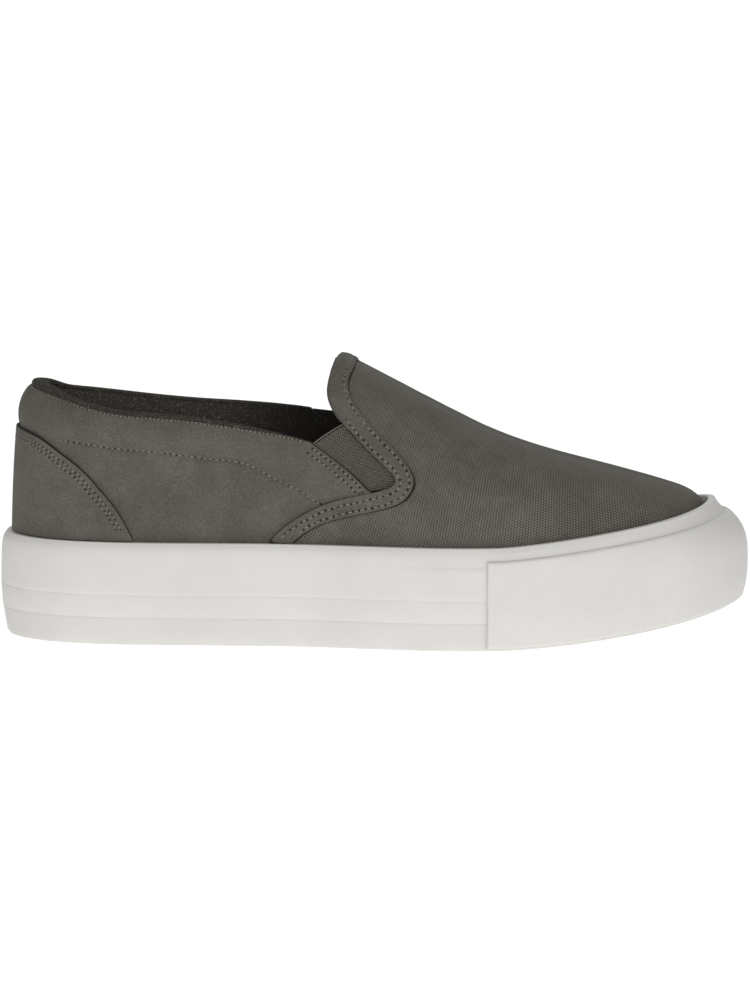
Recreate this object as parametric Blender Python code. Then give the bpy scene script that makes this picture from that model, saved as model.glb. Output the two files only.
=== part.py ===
"""Slip-on sneaker for the right foot, standing on its sole.

Metres. +X points to the toe, -Y to the shoe's outer side, +Z up. The origin is under the middle of
the shoe, on the floor. A place round the shoe is a turn: 0 at the heel, up to +pi along the outer
side to the toe, down to -pi along the inner side. A station is the matching share of the length,
(1 - cos turn) / 2, and every height follows it. A climb is a place up the upper: -1 at its lower
edge inside the cup, 0 where it leaves the sole's lip, 1 on the ridge over the foot.
"""

from collections import namedtuple
import math

import bmesh
import bpy
import numpy as np

MM = 0.001
GAP = 0.3 * MM

# Sole
SOLE_LENGTH = 266.4 * MM
BALL_WIDTH = 97 * MM
HEEL_WIDTH = 70 * MM
SOLE_HEIGHT = 36.7 * MM
OUTSOLE_HEIGHT = 8.6 * MM
TOE_SPRING = 11 * MM
LIP_RISE = 10.7 * MM
CUP_DEPTH = 13 * MM
WALL_TAPER = 2.2 * MM
TOE_TAPER = 10.3 * MM
LIP_LAND = 2.6 * MM
RIB_HEIGHT = 17 * MM
GROOVE_WIDTH = 1.4 * MM
GROOVE_DEPTH = 0.9 * MM
EDGE_BEVEL = 0.8 * MM

# Toe bumper
BUMPER_THICKNESS = 1.3 * MM
BUMPER_BAND = 5.9 * MM
BUMPER_FLOOR = 1 * MM

# Tread
TREAD_DEPTH = 1.8 * MM
TREAD_GROOVE = 3 * MM
TREAD_PITCH = 11 * MM
TREAD_RIM = 7 * MM
TREAD_BEND = 5 * MM

# Upper
INSTEP_RISE = 71.3 * MM
BASE_DROP = 8 * MM
WALL = 2 * MM
HEEL_LEAN = 3.2 * MM
LEAN_REACH = 0.3
TOE_ROUND = 15 * MM
COLLAR_RISE = 60 * MM
COLLAR_PAD = 6 * MM
COLLAR_ROLL = 6 * MM
ROLL_HEIGHT = 11 * MM
PAD_HEIGHT = 34 * MM

# Pieces on the upper
TRIM_THICKNESS = 1.1 * MM
COUNTER_THICKNESS = 1.1 * MM
COUNTER_RISE = 38 * MM
GORE_THICKNESS = 1.2 * MM
GORE_SINK = 0.5 * MM
NOTCH_GAP = 0.5 * MM
PANEL_CLEARANCE = 0.4 * MM
TRIM_TUCK = 1.5 * MM
BINDING_HEIGHT = 2 * MM
BINDING_OVERHANG = 0.5 * MM
INSOLE_THICKNESS = 4.5 * MM

# Shares of the sole's length
SPRING_START = 0.668
BUMPER_START = 0.655
TOE_BLEND = 0.6
TREAD_ZONES = ((0.09, 0.31), (0.50, 0.90))

# Powers of the curves of the toe spring, of the lip and of the toe's taper
SPRING_POWER = 1.7
LIP_POWER = 1.3
TOE_POWER = 3

# Climbs of the notch's lower corners and of the throat's corner over it
NOTCH_REAR = 0.163
NOTCH_FRONT = 0.200
THROAT_CORNER = 0.400

# Plan of the sole: the middle line as a share of BALL_WIDTH, and the fullness, which sin(turn)
# narrows towards both ends, as shares of HEEL_WIDTH and BALL_WIDTH that add up.
PlanRow = namedtuple("PlanRow", "station centre heel ball")
PLAN = (
    PlanRow(0.00, 0.000, 0.886, 0.000),
    PlanRow(0.05, 0.000, 0.820, 0.000),
    PlanRow(0.15, 0.000, 0.700, 0.000),
    PlanRow(0.40, -0.036, 0.270, 0.190),
    PlanRow(0.62, -0.021, 0.000, 0.510),
    PlanRow(0.80, 0.010, 0.000, 0.555),
    PlanRow(0.90, 0.031, 0.000, 0.602),
    PlanRow(1.00, 0.062, 0.000, 0.680),
)

# Side of the sole: inset of its face at a share of its height, as shares of WALL_TAPER along the
# sides and heel and of TOE_TAPER at the toe.
SideRow = namedtuple("SideRow", "height side toe")
SIDE = (
    SideRow(0.00, 0.95, 0.20),
    SideRow(0.11, 0.64, 0.10),
    SideRow(0.25, 0.27, 0.02),
    SideRow(0.45, 0.00, 0.00),
    SideRow(0.70, 0.00, 0.155),
    SideRow(0.80, 0.03, 0.38),
    SideRow(0.90, 0.20, 0.73),
    SideRow(0.96, 0.50, 0.92),
    SideRow(1.00, 1.00, 1.00),
)

# Ridge of the upper: its height over the base line as a share of INSTEP_RISE, how square its
# section is, and how far it lies to the inner side as a share of BALL_WIDTH. The rows behind the
# throat stand for a form that goes on up through the collar, so that the quarters stay steep.
RidgeRow = namedtuple("RidgeRow", "station rise power shift")
RIDGE = (
    RidgeRow(0.00, 1.500, 4.0, 0.000),
    RidgeRow(0.20, 1.460, 3.9, 0.005),
    RidgeRow(0.36, 1.200, 3.1, 0.020),
    RidgeRow(0.472, 1.000, 2.55, 0.035),
    RidgeRow(0.557, 0.840, 2.35, 0.043),
    RidgeRow(0.650, 0.666, 2.30, 0.046),
    RidgeRow(0.742, 0.509, 2.30, 0.042),
    RidgeRow(0.834, 0.378, 2.30, 0.033),
    RidgeRow(0.926, 0.243, 2.30, 0.018),
    RidgeRow(1.00, 0.130, 2.30, 0.000),
)

# Collar: height of its rim over the base line as a share of COLLAR_RISE, and how much of its
# padding and of its inward roll is left.
CollarRow = namedtuple("CollarRow", "station height pad roll")
COLLAR = (
    CollarRow(0.00, 1.000, 1.00, 1.00),
    CollarRow(0.047, 0.940, 1.00, 0.85),
    CollarRow(0.10, 0.893, 0.85, 0.55),
    CollarRow(0.153, 0.850, 0.70, 0.35),
    CollarRow(0.229, 0.782, 0.55, 0.25),
    CollarRow(0.338, 0.748, 0.40, 0.20),
    CollarRow(0.390, 0.720, 0.20, 0.10),
    CollarRow(0.430, 0.683, 0.00, 0.00),
)


# Front edge of the quarter, which is the rear edge of the notch.
QuarterRow = namedtuple("QuarterRow", "climb front")
QUARTER = (
    QuarterRow(0.163, 0.494),
    QuarterRow(0.214, 0.468),
    QuarterRow(0.244, 0.445),
    QuarterRow(0.269, 0.420),
)

# Rear and front edges of the trim, as stations, from the sole's lip to the ridge.
TrimRow = namedtuple("TrimRow", "climb rear front")
TRIM = (
    TrimRow(0.00, 0.3600, 0.392),
    TrimRow(0.05, 0.4000, 0.440),
    TrimRow(0.10, 0.4390, 0.498),
    TrimRow(0.15, 0.4840, 0.535),
    TrimRow(0.20, 0.5200, 0.549),
    TrimRow(0.25, 0.5250, 0.554),
    TrimRow(0.30, 0.5030, 0.549),
    TrimRow(0.36, 0.4750, 0.533),
    TrimRow(0.42, 0.4545, 0.507),
    TrimRow(0.50, 0.4425, 0.480),
    TrimRow(0.60, 0.4440, 0.469),
    TrimRow(0.75, 0.4535, 0.477),
    TrimRow(1.00, 0.4680, 0.492),
)

# Top edge of the heel counter over the lip, as a share of COUNTER_RISE.
CounterRow = namedtuple("CounterRow", "station height")
COUNTER = (
    CounterRow(0.000, 1.000),
    CounterRow(0.040, 0.942),
    CounterRow(0.0735, 0.818),
    CounterRow(0.112, 0.634),
    CounterRow(0.135, 0.471),
    CounterRow(0.1535, 0.324),
    CounterRow(0.171, 0.132),
    CounterRow(0.178, 0.040),
)

# Section of the binding: shares of its half width and of its height.
BindingRow = namedtuple("BindingRow", "aside up")
BINDING = (
    BindingRow(1.0, 0.0),
    BindingRow(1.0, 0.5),
    BindingRow(0.55, 1.0),
    BindingRow(-0.55, 1.0),
    BindingRow(-1.0, 0.5),
    BindingRow(-1.0, 0.0),
)

# Grid of the solids
RING_COUNT = 72
RING_TURNS = 2 * math.pi * np.arange(RING_COUNT) / RING_COUNT - math.pi
SIDE_SHARES = (0.60, 0.70, 0.80, 0.90, 0.96, 1.00)
BUMPER_COLUMNS = 37
BUMPER_ROWS = 8
REAR_COLUMNS = 17
FRONT_COLUMNS = 20
CUP_ROWS = (-1.0, -0.5)
LOW_SHARES = (0.0, 0.35, 0.70, 1.0)
HIGH_SHARES = (0.35, 0.62, 0.82, 0.94, 1.0)
TONGUE_ROWS = 6
TRIM_ROWS = 22
TRIM_COLUMNS = 4
COUNTER_COLUMNS = 27
COUNTER_ROWS = 6
GORE_COLUMNS = 4
PAD_FULL = 1.6
LIP_SHARE_LIMIT = 0.9
TINY = 1e-4
TIP_STEP = 0.02
FACE_STEP = 1e-3


def along(table, column, station):
    """Smooth curve through one column of a table: the natural cubic spline over its stations."""
    places = np.array([row[0] for row in table])
    values = np.array([getattr(row, column) for row in table])
    step = np.diff(places)
    slope = np.diff(values) / step
    system = np.eye(len(places))
    bend = np.zeros(len(places))
    for i in range(1, len(places) - 1):
        system[i, i - 1:i + 2] = step[i - 1], 2 * (step[i - 1] + step[i]), step[i]
        bend[i] = 6 * (slope[i] - slope[i - 1])
    curvature = np.linalg.solve(system, bend)
    station = np.clip(station, places[0], places[-1])
    i = np.clip(np.searchsorted(places, station) - 1, 0, len(step) - 1)
    after = station - places[i]
    before = step[i] - after
    return (
        (curvature[i] * before ** 3 + curvature[i + 1] * after ** 3) / (6 * step[i])
        + (values[i] / step[i] - curvature[i] * step[i] / 6) * before
        + (values[i + 1] / step[i] - curvature[i + 1] * step[i] / 6) * after
    )


def spring(station):
    """Share of the way from the last flat section to the tip of the toe."""
    return np.clip((station - SPRING_START) / (1 - SPRING_START), 0, 1)


def ground(station):
    """Height of the tread's face: flat, then the toe spring."""
    return TOE_SPRING * spring(station) ** SPRING_POWER


def lip(station):
    """Height of the top of the sole's side."""
    return SOLE_HEIGHT + LIP_RISE * spring(station) ** LIP_POWER


def toeness(station):
    """How far the section has turned from a side section (0) into the toe's (1)."""
    return np.clip((station - TOE_BLEND) / (1 - TOE_BLEND), 0, 1) ** TOE_POWER


def station_of(turn):
    return (1 - np.cos(turn)) / 2


def turn_of(station):
    return np.arccos(1 - 2 * np.clip(station, 0, 1))


def plan(turn, shift):
    """Outline of the sole at a turn: the middle line, with the fullness times sin(turn) aside."""
    station = station_of(turn)
    full = HEEL_WIDTH * along(PLAN, "heel", station) + BALL_WIDTH * along(PLAN, "ball", station)
    x = HEEL_X + SOLE_LENGTH * station
    y = shift + BALL_WIDTH * along(PLAN, "centre", station) - full * np.sin(turn)
    return x, y


def inset_plan(turn, inset, shift):
    """The outline moved inward, square to itself, by an inset."""
    x, y = plan(turn, shift)
    x_on, y_on = plan(turn + TINY, shift)
    x_back, y_back = plan(turn - TINY, shift)
    run_x, run_y = x_on - x_back, y_on - y_back
    run = np.hypot(run_x, run_y)
    return x - run_y / run * inset, y + run_x / run * inset


def middle_of_plan():
    """The shift that puts the widest places, bumper and all, the same distance from the middle."""
    turn = np.linspace(-math.pi, math.pi, 721)
    bumper = np.where(station_of(turn) > BUMPER_START, -GAP - BUMPER_THICKNESS, 0)
    y = inset_plan(turn, bumper, 0)[1]
    return -(y.min() + y.max()) / 2


HEEL_X = -(SOLE_LENGTH + GAP + BUMPER_THICKNESS) / 2
PLAN_SHIFT = middle_of_plan()


def outline(turn, inset):
    return inset_plan(turn, inset, PLAN_SHIFT)


def lip_inset(station):
    """Inset of the lip's inner edge, where the cup's hollow starts."""
    return WALL_TAPER + (TOE_TAPER - WALL_TAPER) * toeness(station) + LIP_LAND


def feather_inset(station):
    return lip_inset(station) + GAP


def side_inset(station, share):
    """Inset of the side's face at a share of its height."""
    blend = toeness(station)
    side = WALL_TAPER * along(SIDE, "side", share)
    toe = TOE_TAPER * along(SIDE, "toe", share)
    return side + (toe - side) * blend


def side_ring(turn, height, sink):
    """Ring round the sole's face at a height over the tread, sunk in by a distance."""
    station = station_of(turn)
    share = height / (lip(station) - ground(station))
    x, y = outline(turn, side_inset(station, share) + sink)
    return np.stack([x, y, ground(station) + height + 0 * x], axis=-1)


def level_ring(turn, z, inset):
    x, y = outline(turn, inset)
    return np.stack([x, y, z + 0 * x], axis=-1)


UPPER_HEEL = HEEL_X + feather_inset(0.0)
UPPER_LENGTH = SOLE_LENGTH - feather_inset(0.0) - feather_inset(1.0)


def ridge_rise(station):
    """Height of the ridge over the base line, rounded off at the tip of the toe."""
    nose = np.clip(1 - (1 - station) * UPPER_LENGTH / TOE_ROUND, 0, 1)
    return INSTEP_RISE * along(RIDGE, "rise", station) * (1 - nose ** 3) ** (1 / 3)


def lip_share(station):
    """Share of the ridge's rise at which the upper leaves the lip."""
    return np.minimum(BASE_DROP / np.maximum(ridge_rise(station), TINY * MM), LIP_SHARE_LIMIT)


def lip_angle(station):
    """Angle in the section's superellipse at which the upper leaves the lip."""
    return np.arcsin(lip_share(station) ** (along(RIDGE, "power", station) / 2))


def climb_at(station, rise):
    """The climb that reaches a height over the base line."""
    share = np.clip(rise / ridge_rise(station), 0, 1)
    angle = np.arcsin(share ** (along(RIDGE, "power", station) / 2))
    start = lip_angle(station)
    return (angle - start) / (math.pi / 2 - start)


def upper_point(turn, climb):
    """Point of the upper's outer face, each section being a superellipse.

    |across|^p + |up|^p = 1, with across = 1 at the outline and up = 1 on the ridge.
    """
    station = station_of(turn)
    rise = ridge_rise(station)
    power = along(RIDGE, "power", station)
    start = lip_angle(station)
    start_up = rise * lip_share(station)
    wall_up = start_up + climb * (start_up + CUP_DEPTH - BASE_DROP - GAP)
    inside = np.arcsin(np.clip(wall_up / np.maximum(rise, TINY * MM), 0, 1) ** (power / 2))
    angle = np.where(climb < 0, inside, start + (math.pi / 2 - start) * climb)
    cosine = np.cos(angle)
    across = np.sign(cosine) * np.abs(cosine) ** (2 / power)
    up = np.where(climb < 0, wall_up, rise * np.abs(np.sin(angle)) ** (2 / power))
    edge_x, edge_y = outline(turn, feather_inset(station))
    ridge_x = UPPER_HEEL + UPPER_LENGTH * station
    centre = along(PLAN, "centre", station) + along(RIDGE, "shift", station)
    ridge_y = PLAN_SHIFT + BALL_WIDTH * centre
    lean = np.clip(1 - station / LEAN_REACH, 0, 1) ** 2 * HEEL_LEAN
    x = ridge_x + (edge_x - ridge_x) * across + lean * (np.maximum(up, 0) / COLLAR_RISE) ** 2
    y = ridge_y + (edge_y - ridge_y) * across
    z = lip(station) - BASE_DROP + up
    return np.stack([x, y, z], axis=-1)


def upper_face(turn, climb, lift):
    """The upper's outer face moved outward, square to itself, by a lift."""
    safe = np.clip(turn, TIP_STEP - math.pi, math.pi - TIP_STEP)
    on = upper_point(safe + FACE_STEP, climb) - upper_point(safe - FACE_STEP, climb)
    up = upper_point(safe, climb + FACE_STEP) - upper_point(safe, climb - FACE_STEP)
    normal = np.cross(on, up)
    normal /= np.linalg.norm(normal, axis=-1, keepdims=True)
    return upper_point(turn, climb) + normal * np.asarray(lift)[..., None]


def clean(face):
    """A face without repeated corners, or None where nothing is left of it."""
    corners = [corner for i, corner in enumerate(face) if corner != face[i - 1]]
    return corners if len(set(corners)) > 2 else None


def grid_faces(ids):
    """Quads over a grid of vertex numbers."""
    faces = []
    for row, after in zip(ids[:-1], ids[1:]):
        for i in range(len(row) - 1):
            faces.append(clean([row[i], row[i + 1], after[i + 1], after[i]]))
    return [face for face in faces if face]


def add_object(name, points, faces, material):
    """One object from points and faces, its faces turned outward, its loose points left out."""
    build = bmesh.new()
    used = sorted({int(corner) for face in faces for corner in face})
    vertices = {corner: build.verts.new(points[corner]) for corner in used}
    for face in faces:
        build.faces.new([vertices[int(corner)] for corner in face])
    bmesh.ops.recalc_face_normals(build, faces=build.faces)
    mesh = bpy.data.meshes.new(name)
    build.to_mesh(mesh)
    build.free()
    mesh.shade_smooth()
    mesh.set_sharp_from_angle(angle=math.radians(40))
    piece = bpy.data.objects.new(name, mesh)
    bpy.context.scene.collection.objects.link(piece)
    piece.data.materials.append(material)
    return piece


def add_loft(name, rings, material):
    """Closed body through rings of equal count, its ends closed by strips from side to side."""
    count = len(rings[0])
    points = np.concatenate(rings)
    faces = []
    for k in range(len(rings) - 1):
        for i in range(count):
            j = (i + 1) % count
            low, high = k * count, (k + 1) * count
            faces.append([low + i, low + j, high + j, high + i])
    for first in (0, (len(rings) - 1) * count):
        for i in range(count // 2):
            strip = [first + i, first + i + 1, first + count - i - 1, first + (count - i) % count]
            faces.append(clean(strip))
    return add_object(name, points, faces, material)


def add_shell(name, outer, inner, faces, material):
    """Closed body between two skins with the same faces, joined along their open edges."""
    count = len(outer)
    edges = {}
    for face in faces:
        for i, corner in enumerate(face):
            pair = (face[i - 1], corner)
            edges[frozenset(pair)] = None if frozenset(pair) in edges else pair
    solid = [list(face) for face in faces]
    solid += [[corner + count for corner in reversed(face)] for face in faces]
    for pair in edges.values():
        if pair:
            start, end = pair
            solid.append([end, start, start + count, end + count])
    return add_object(name, np.concatenate([outer, inner]), solid, material)


def add_panel(name, turn, climb, low, high, material):
    """Panel over the upper between two lifts, on a grid of turns and climbs."""
    ids = np.arange(turn.size).reshape(turn.shape)
    outer = upper_face(turn, climb, high + 0 * turn).reshape(-1, 3)
    inner = upper_face(turn, climb, low + 0 * turn).reshape(-1, 3)
    return add_shell(name, outer, inner, grid_faces(ids), material)


def add_material(name, colour, roughness):
    material = bpy.data.materials.new(name)
    material.use_nodes = True
    shader = material.node_tree.nodes["Principled BSDF"]
    shader.inputs["Base Color"].default_value = (*colour, 1)
    shader.inputs["Roughness"].default_value = roughness
    shader.inputs["Metallic"].default_value = 0
    material.diffuse_color = (*colour, 1)
    return material


def add_outsole(material):
    turn = RING_TURNS
    rings = [
        side_ring(turn, 0 * turn, EDGE_BEVEL),
        side_ring(turn, EDGE_BEVEL, 0),
        side_ring(turn, OUTSOLE_HEIGHT / 2, 0),
        side_ring(turn, OUTSOLE_HEIGHT - EDGE_BEVEL, 0),
        side_ring(turn, OUTSOLE_HEIGHT, EDGE_BEVEL),
    ]
    outsole = add_loft("outsole", rings, material)
    cut = outsole.modifiers.new("tread", "BOOLEAN")
    cut.operation = "DIFFERENCE"
    cut.solver = "EXACT"
    cut.object = add_tread_cutter()
    return outsole


def add_tread_cutter():
    """Chevron bars that cut the tread, one every TREAD_PITCH under the heel and the forefoot."""
    points, faces = [], []
    for first, last in TREAD_ZONES:
        count = int((last - first) * SOLE_LENGTH / TREAD_PITCH)
        for station in np.linspace(first, last, count + 1):
            turn = float(turn_of(station))
            outer = np.array(outline(turn, TREAD_RIM))
            inner = np.array(outline(-turn, TREAD_RIM))
            middle = (outer + inner) / 2 + np.array([TREAD_BEND, 0])
            start = len(points)
            for place in (outer, middle, inner):
                for side in (-0.5, 0.5):
                    x = place[0] + side * TREAD_GROOVE
                    floor = ground((x - HEEL_X) / SOLE_LENGTH)
                    points += [(x, place[1], floor - TREAD_DEPTH), (x, place[1], floor + TREAD_DEPTH)]
            for bar in (start, start + 4):
                for a, b in ((0, 1), (1, 3), (3, 2), (2, 0)):
                    faces.append([bar + a, bar + b, bar + b + 4, bar + a + 4])
            faces += [[start, start + 2, start + 3, start + 1]]
            faces += [[start + 8, start + 9, start + 11, start + 10]]
    cutter = add_object("tread_cutter", points, faces, add_material("cutter", (1, 0, 0), 1))
    cutter.hide_render = True
    cutter.display_type = "WIRE"
    return cutter


def add_midsole(material):
    turn = RING_TURNS
    station = station_of(turn)
    full = lip(station) - ground(station)
    rings = [
        side_ring(turn, OUTSOLE_HEIGHT + GAP, EDGE_BEVEL),
        side_ring(turn, OUTSOLE_HEIGHT + GAP + EDGE_BEVEL, 0),
        side_ring(turn, RIB_HEIGHT - GROOVE_WIDTH / 2, 0),
        side_ring(turn, RIB_HEIGHT, GROOVE_DEPTH),
        side_ring(turn, RIB_HEIGHT + GROOVE_WIDTH / 2, 0),
    ]
    rings += [side_ring(turn, share * full, 0) for share in SIDE_SHARES]
    inset = lip_inset(station)
    rings += [level_ring(turn, lip(station), inset)]
    rings += [level_ring(turn, lip(station) - CUP_DEPTH, inset)]
    return add_loft("midsole", rings, material)


def add_bumper(material):
    """Strip round the toe, between two forms of the sole's own side."""
    first = turn_of(BUMPER_START)
    turn = np.linspace(first, 2 * math.pi - first, BUMPER_COLUMNS)
    station = station_of(turn)
    full = lip(station) - ground(station)
    shares = np.linspace(0, 1, BUMPER_ROWS)
    skins = []
    for sink in (-GAP - BUMPER_THICKNESS, -GAP):
        rows = []
        for share in shares:
            height = BUMPER_FLOOR + share * (full - BUMPER_BAND - BUMPER_FLOOR)
            rows.append(side_ring(turn, height, sink))
        skins.append(np.concatenate(rows))
    ids = np.arange(skins[0].shape[0]).reshape(BUMPER_ROWS, BUMPER_COLUMNS)
    return add_shell("toe_bumper", skins[0], skins[1], grid_faces(ids), material)


def add_insole(material):
    turn = RING_TURNS
    station = station_of(turn)
    inset = feather_inset(station) + WALL + GAP
    floor = lip(station) - CUP_DEPTH + GAP
    top = floor + INSOLE_THICKNESS
    rings = [
        level_ring(turn, floor, inset),
        level_ring(turn, top - EDGE_BEVEL, inset),
        level_ring(turn, top, inset + EDGE_BEVEL),
    ]
    return add_loft("insole", rings, material)


def rim_rise(station):
    return COLLAR_RISE * along(COLLAR, "height", station)


def rear_lifts(turn, climb):
    """Lifts of the outer and inner skins of the quarters: the collar's roll and its padding."""
    station = station_of(turn)
    z = upper_point(turn, climb)[..., 2]
    below = lip(station) - BASE_DROP + rim_rise(station) - z
    near = np.clip(1 - below / ROLL_HEIGHT, 0, 1)
    roll = COLLAR_ROLL * along(COLLAR, "roll", station) * (1 - np.sqrt(1 - near ** 2))
    fade = np.clip(1 - below / PAD_HEIGHT, 0, 1)
    swell = fade ** 2 * (3 - 2 * fade)
    pad = COLLAR_PAD * along(COLLAR, "pad", station) * np.minimum(swell * PAD_FULL, 1)
    return -roll, -WALL - pad


def quarter_edge(climb):
    return along(QUARTER, "front", climb)


def throat_edge(climb):
    """Edge of the upper under the trim: the notch's front edge, then the tongue's free edge."""
    return along(TRIM, "rear", np.maximum(climb, NOTCH_FRONT)) + TRIM_TUCK / UPPER_LENGTH


def quarter_top():
    """Climb of the quarter's top corner, where its front edge meets the rim."""
    climb = QUARTER[-1].climb
    for _ in range(20):
        station = quarter_edge(climb)
        climb = climb_at(station, rim_rise(station))
    return float(climb)


def row_climbs(middle, top):
    """Climbs from the cup's floor past the notch's lower corner to the top corner."""
    low = middle * np.array(LOW_SHARES)
    high = middle + (top - middle) * np.array(HIGH_SHARES)
    return np.concatenate([CUP_ROWS, low, high])


def rear_grid():
    """Turns and climbs of the quarter, from the heel to its front edge, up to the rim."""
    climbs = row_climbs(NOTCH_REAR, quarter_top())
    edge = turn_of(quarter_edge(climbs))
    share = np.linspace(0, 1, REAR_COLUMNS)[:, None]
    turn = share * edge
    top = station_of(turn[:, -1:])
    rim = climb_at(top, rim_rise(top))
    climb = np.where(climbs > 0, climbs / climbs[-1] * rim, climbs)
    return turn, climb


def front_grid():
    """Turns and climbs from the throat to the tip of the toe, up to the ridge."""
    tongue = np.linspace(THROAT_CORNER, 1, TONGUE_ROWS + 1)[1:]
    climbs = np.concatenate([row_climbs(NOTCH_FRONT, THROAT_CORNER), tongue])
    edge = turn_of(throat_edge(climbs))
    share = np.linspace(0, 1, FRONT_COLUMNS)[:, None]
    turn = edge + (math.pi - edge) * share
    return turn, climbs + 0 * turn


def mirrored(values):
    """Columns of one side, from heel to toe, with the other side's put before them."""
    return np.concatenate([values[:0:-1], values])


def upper_skins():
    """Points of the upper's outer and inner skins: columns round the shoe, rows up it.

    The quarter's columns end on the rim and repeat it in the rows that only the front needs.
    """
    rear_turn, rear_climb = rear_grid()
    front_turn, front_climb = front_grid()
    spare = ((0, 0), (0, front_turn.shape[1] - rear_turn.shape[1]))
    roll, pad = rear_lifts(rear_turn, rear_climb)
    turn = np.concatenate([np.pad(rear_turn, spare, "edge"), front_turn])
    climb = np.concatenate([np.pad(rear_climb, spare, "edge"), front_climb])
    flat = np.zeros_like(front_turn)
    outer_lift = mirrored(np.concatenate([np.pad(roll, spare, "edge"), flat]))
    inner_lift = mirrored(np.concatenate([np.pad(pad, spare, "edge"), flat - WALL]))
    turn = np.concatenate([-turn[:0:-1], turn])
    climb = mirrored(climb)
    outer = upper_face(turn, climb, outer_lift)
    inner = upper_face(turn, climb, inner_lift)
    heel, edge, rim = len(turn) // 2, REAR_COLUMNS - 1, rear_turn.shape[1] - 1
    quarters = slice(heel - edge, heel + edge + 1)
    inner[quarters, rim:, 2] = outer[quarters, rim:, 2]
    return outer, inner, rim


def add_upper(material):
    """Vamp, tongue and quarters in one hollow wall, open at the collar and underneath."""
    outer, inner, rim = upper_skins()
    columns, rows = outer.shape[:2]
    heel, edge = columns // 2, REAR_COLUMNS - 1
    notch_row = len(CUP_ROWS) + len(LOW_SHARES) - 1
    ids = np.arange(columns * rows).reshape(columns, rows)
    ids[:heel, -1] = ids[:heel:-1, -1]
    ids[0] = ids[-1]
    for column in (0, -1):
        ids[column, len(CUP_ROWS):] = ids[-1, len(CUP_ROWS)]
    faces = []
    for column in range(columns - 1):
        nearer = min(abs(column - heel), abs(column + 1 - heel))
        top = rim if nearer < edge else notch_row if nearer == edge else rows - 1
        faces += grid_faces(ids[column:column + 2, :top + 1])
    return add_shell("upper", outer.reshape(-1, 3), inner.reshape(-1, 3), faces, material)


def lip_climb(station):
    """Climb at which a piece on the upper clears the sole's lip."""
    return climb_at(station, BASE_DROP + PANEL_CLEARANCE)


def add_trim(material):
    """Strip from the sole up beside the gore, over the tongue's edge and down the inner side."""
    share = np.linspace(0, 1, TRIM_ROWS)[:, None]
    across = np.linspace(0, 1, TRIM_COLUMNS)
    rear, front = along(TRIM, "rear", share), along(TRIM, "front", share)
    station = rear + (front - rear) * across
    low = lip_climb(station)
    climb = low + (1 - low) * share
    turn = turn_of(station)
    turn = np.concatenate([turn, -turn[-2::-1]])
    climb = np.concatenate([climb, climb[-2::-1]])
    return add_panel("vamp_trim", turn, climb, GAP, GAP + TRIM_THICKNESS, material)


def add_counter(material):
    """Panel round the heel, between two forms of the upper's own outer face."""
    last = float(turn_of(COUNTER[-1].station))
    turn = np.linspace(-last, last, COUNTER_COLUMNS)
    station = station_of(turn)
    low = lip_climb(station)
    top = climb_at(station, BASE_DROP + COUNTER_RISE * along(COUNTER, "height", station))
    share = np.linspace(0, 1, COUNTER_ROWS)[:, None]
    climb = low + (top - low) * share
    turn = turn + 0 * climb
    return add_panel("heel_counter", turn, climb, GAP, GAP + COUNTER_THICKNESS, material)


def add_gore(name, side, material):
    """Elastic insert in the notch, clear of its edges and sunk a little under the upper's face."""
    gap = NOTCH_GAP / UPPER_LENGTH
    low_share = NOTCH_GAP / INSTEP_RISE
    rear_climb = row_climbs(NOTCH_REAR, quarter_top())[-len(HIGH_SHARES) - 1:]
    front_climb = row_climbs(NOTCH_FRONT, THROAT_CORNER)[-len(HIGH_SHARES) - 1:]
    rear = quarter_edge(rear_climb) + gap
    front = throat_edge(front_climb) - gap
    rear_climb[0] += low_share
    front_climb[0] += low_share
    across = np.linspace(0, 1, GORE_COLUMNS)[:, None]
    turn = side * turn_of(rear + (front - rear) * across)
    climb = rear_climb + (front_climb - rear_climb) * across
    return add_panel(name, turn, climb, -GORE_SINK - GORE_THICKNESS, -GORE_SINK, material)


def add_binding(material):
    """Knit strip on the collar's rim, from quarter to quarter round the heel."""
    outer, inner, rim = upper_skins()
    heel, edge = len(outer) // 2, REAR_COLUMNS - 1
    outer = outer[heel - edge:heel + edge + 1, rim]
    inner = inner[heel - edge:heel + edge + 1, rim]
    middle = (outer + inner) / 2
    half = np.linalg.norm(outer - inner, axis=-1, keepdims=True) / 2
    aside = (outer - inner) / (2 * half) * (half + BINDING_OVERHANG)
    up = np.array([0, 0, 1])
    sections = []
    for row in BINDING:
        sections.append(middle + row.aside * aside + (GAP + row.up * BINDING_HEIGHT) * up)
    points = np.stack(sections, axis=1)
    columns, corners = points.shape[:2]
    ids = np.arange(columns * corners).reshape(columns, corners)
    faces = grid_faces(np.concatenate([ids, ids[:, :1]], axis=1))
    faces += [list(ids[0]), list(ids[-1])]
    return add_object("collar_binding", points.reshape(-1, 3), faces, material)


def main():
    for thing in list(bpy.data.objects):
        bpy.data.objects.remove(thing, do_unlink=True)
    rubber = add_material("white rubber", (0.72, 0.71, 0.68), 0.55)
    leather = add_material("grey nubuck", (0.108, 0.101, 0.084), 0.85)
    elastic = add_material("grey elastic", (0.083, 0.076, 0.063), 0.9)
    add_outsole(rubber)
    add_midsole(rubber)
    add_bumper(rubber)
    add_insole(add_material("dark lining", (0.03, 0.025, 0.02), 0.9))
    add_upper(add_material("embossed nubuck", (0.100, 0.094, 0.078), 0.85))
    add_trim(leather)
    add_counter(leather)
    add_gore("gore_lateral", 1, elastic)
    add_gore("gore_medial", -1, elastic)
    add_binding(add_material("grey knit", (0.09, 0.085, 0.07), 0.95))


if __name__ == "__main__":
    main()
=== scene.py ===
"""Slip-on sneaker for the right foot: nubuck upper, elastic gores and a white cup sole."""

import math

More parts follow.
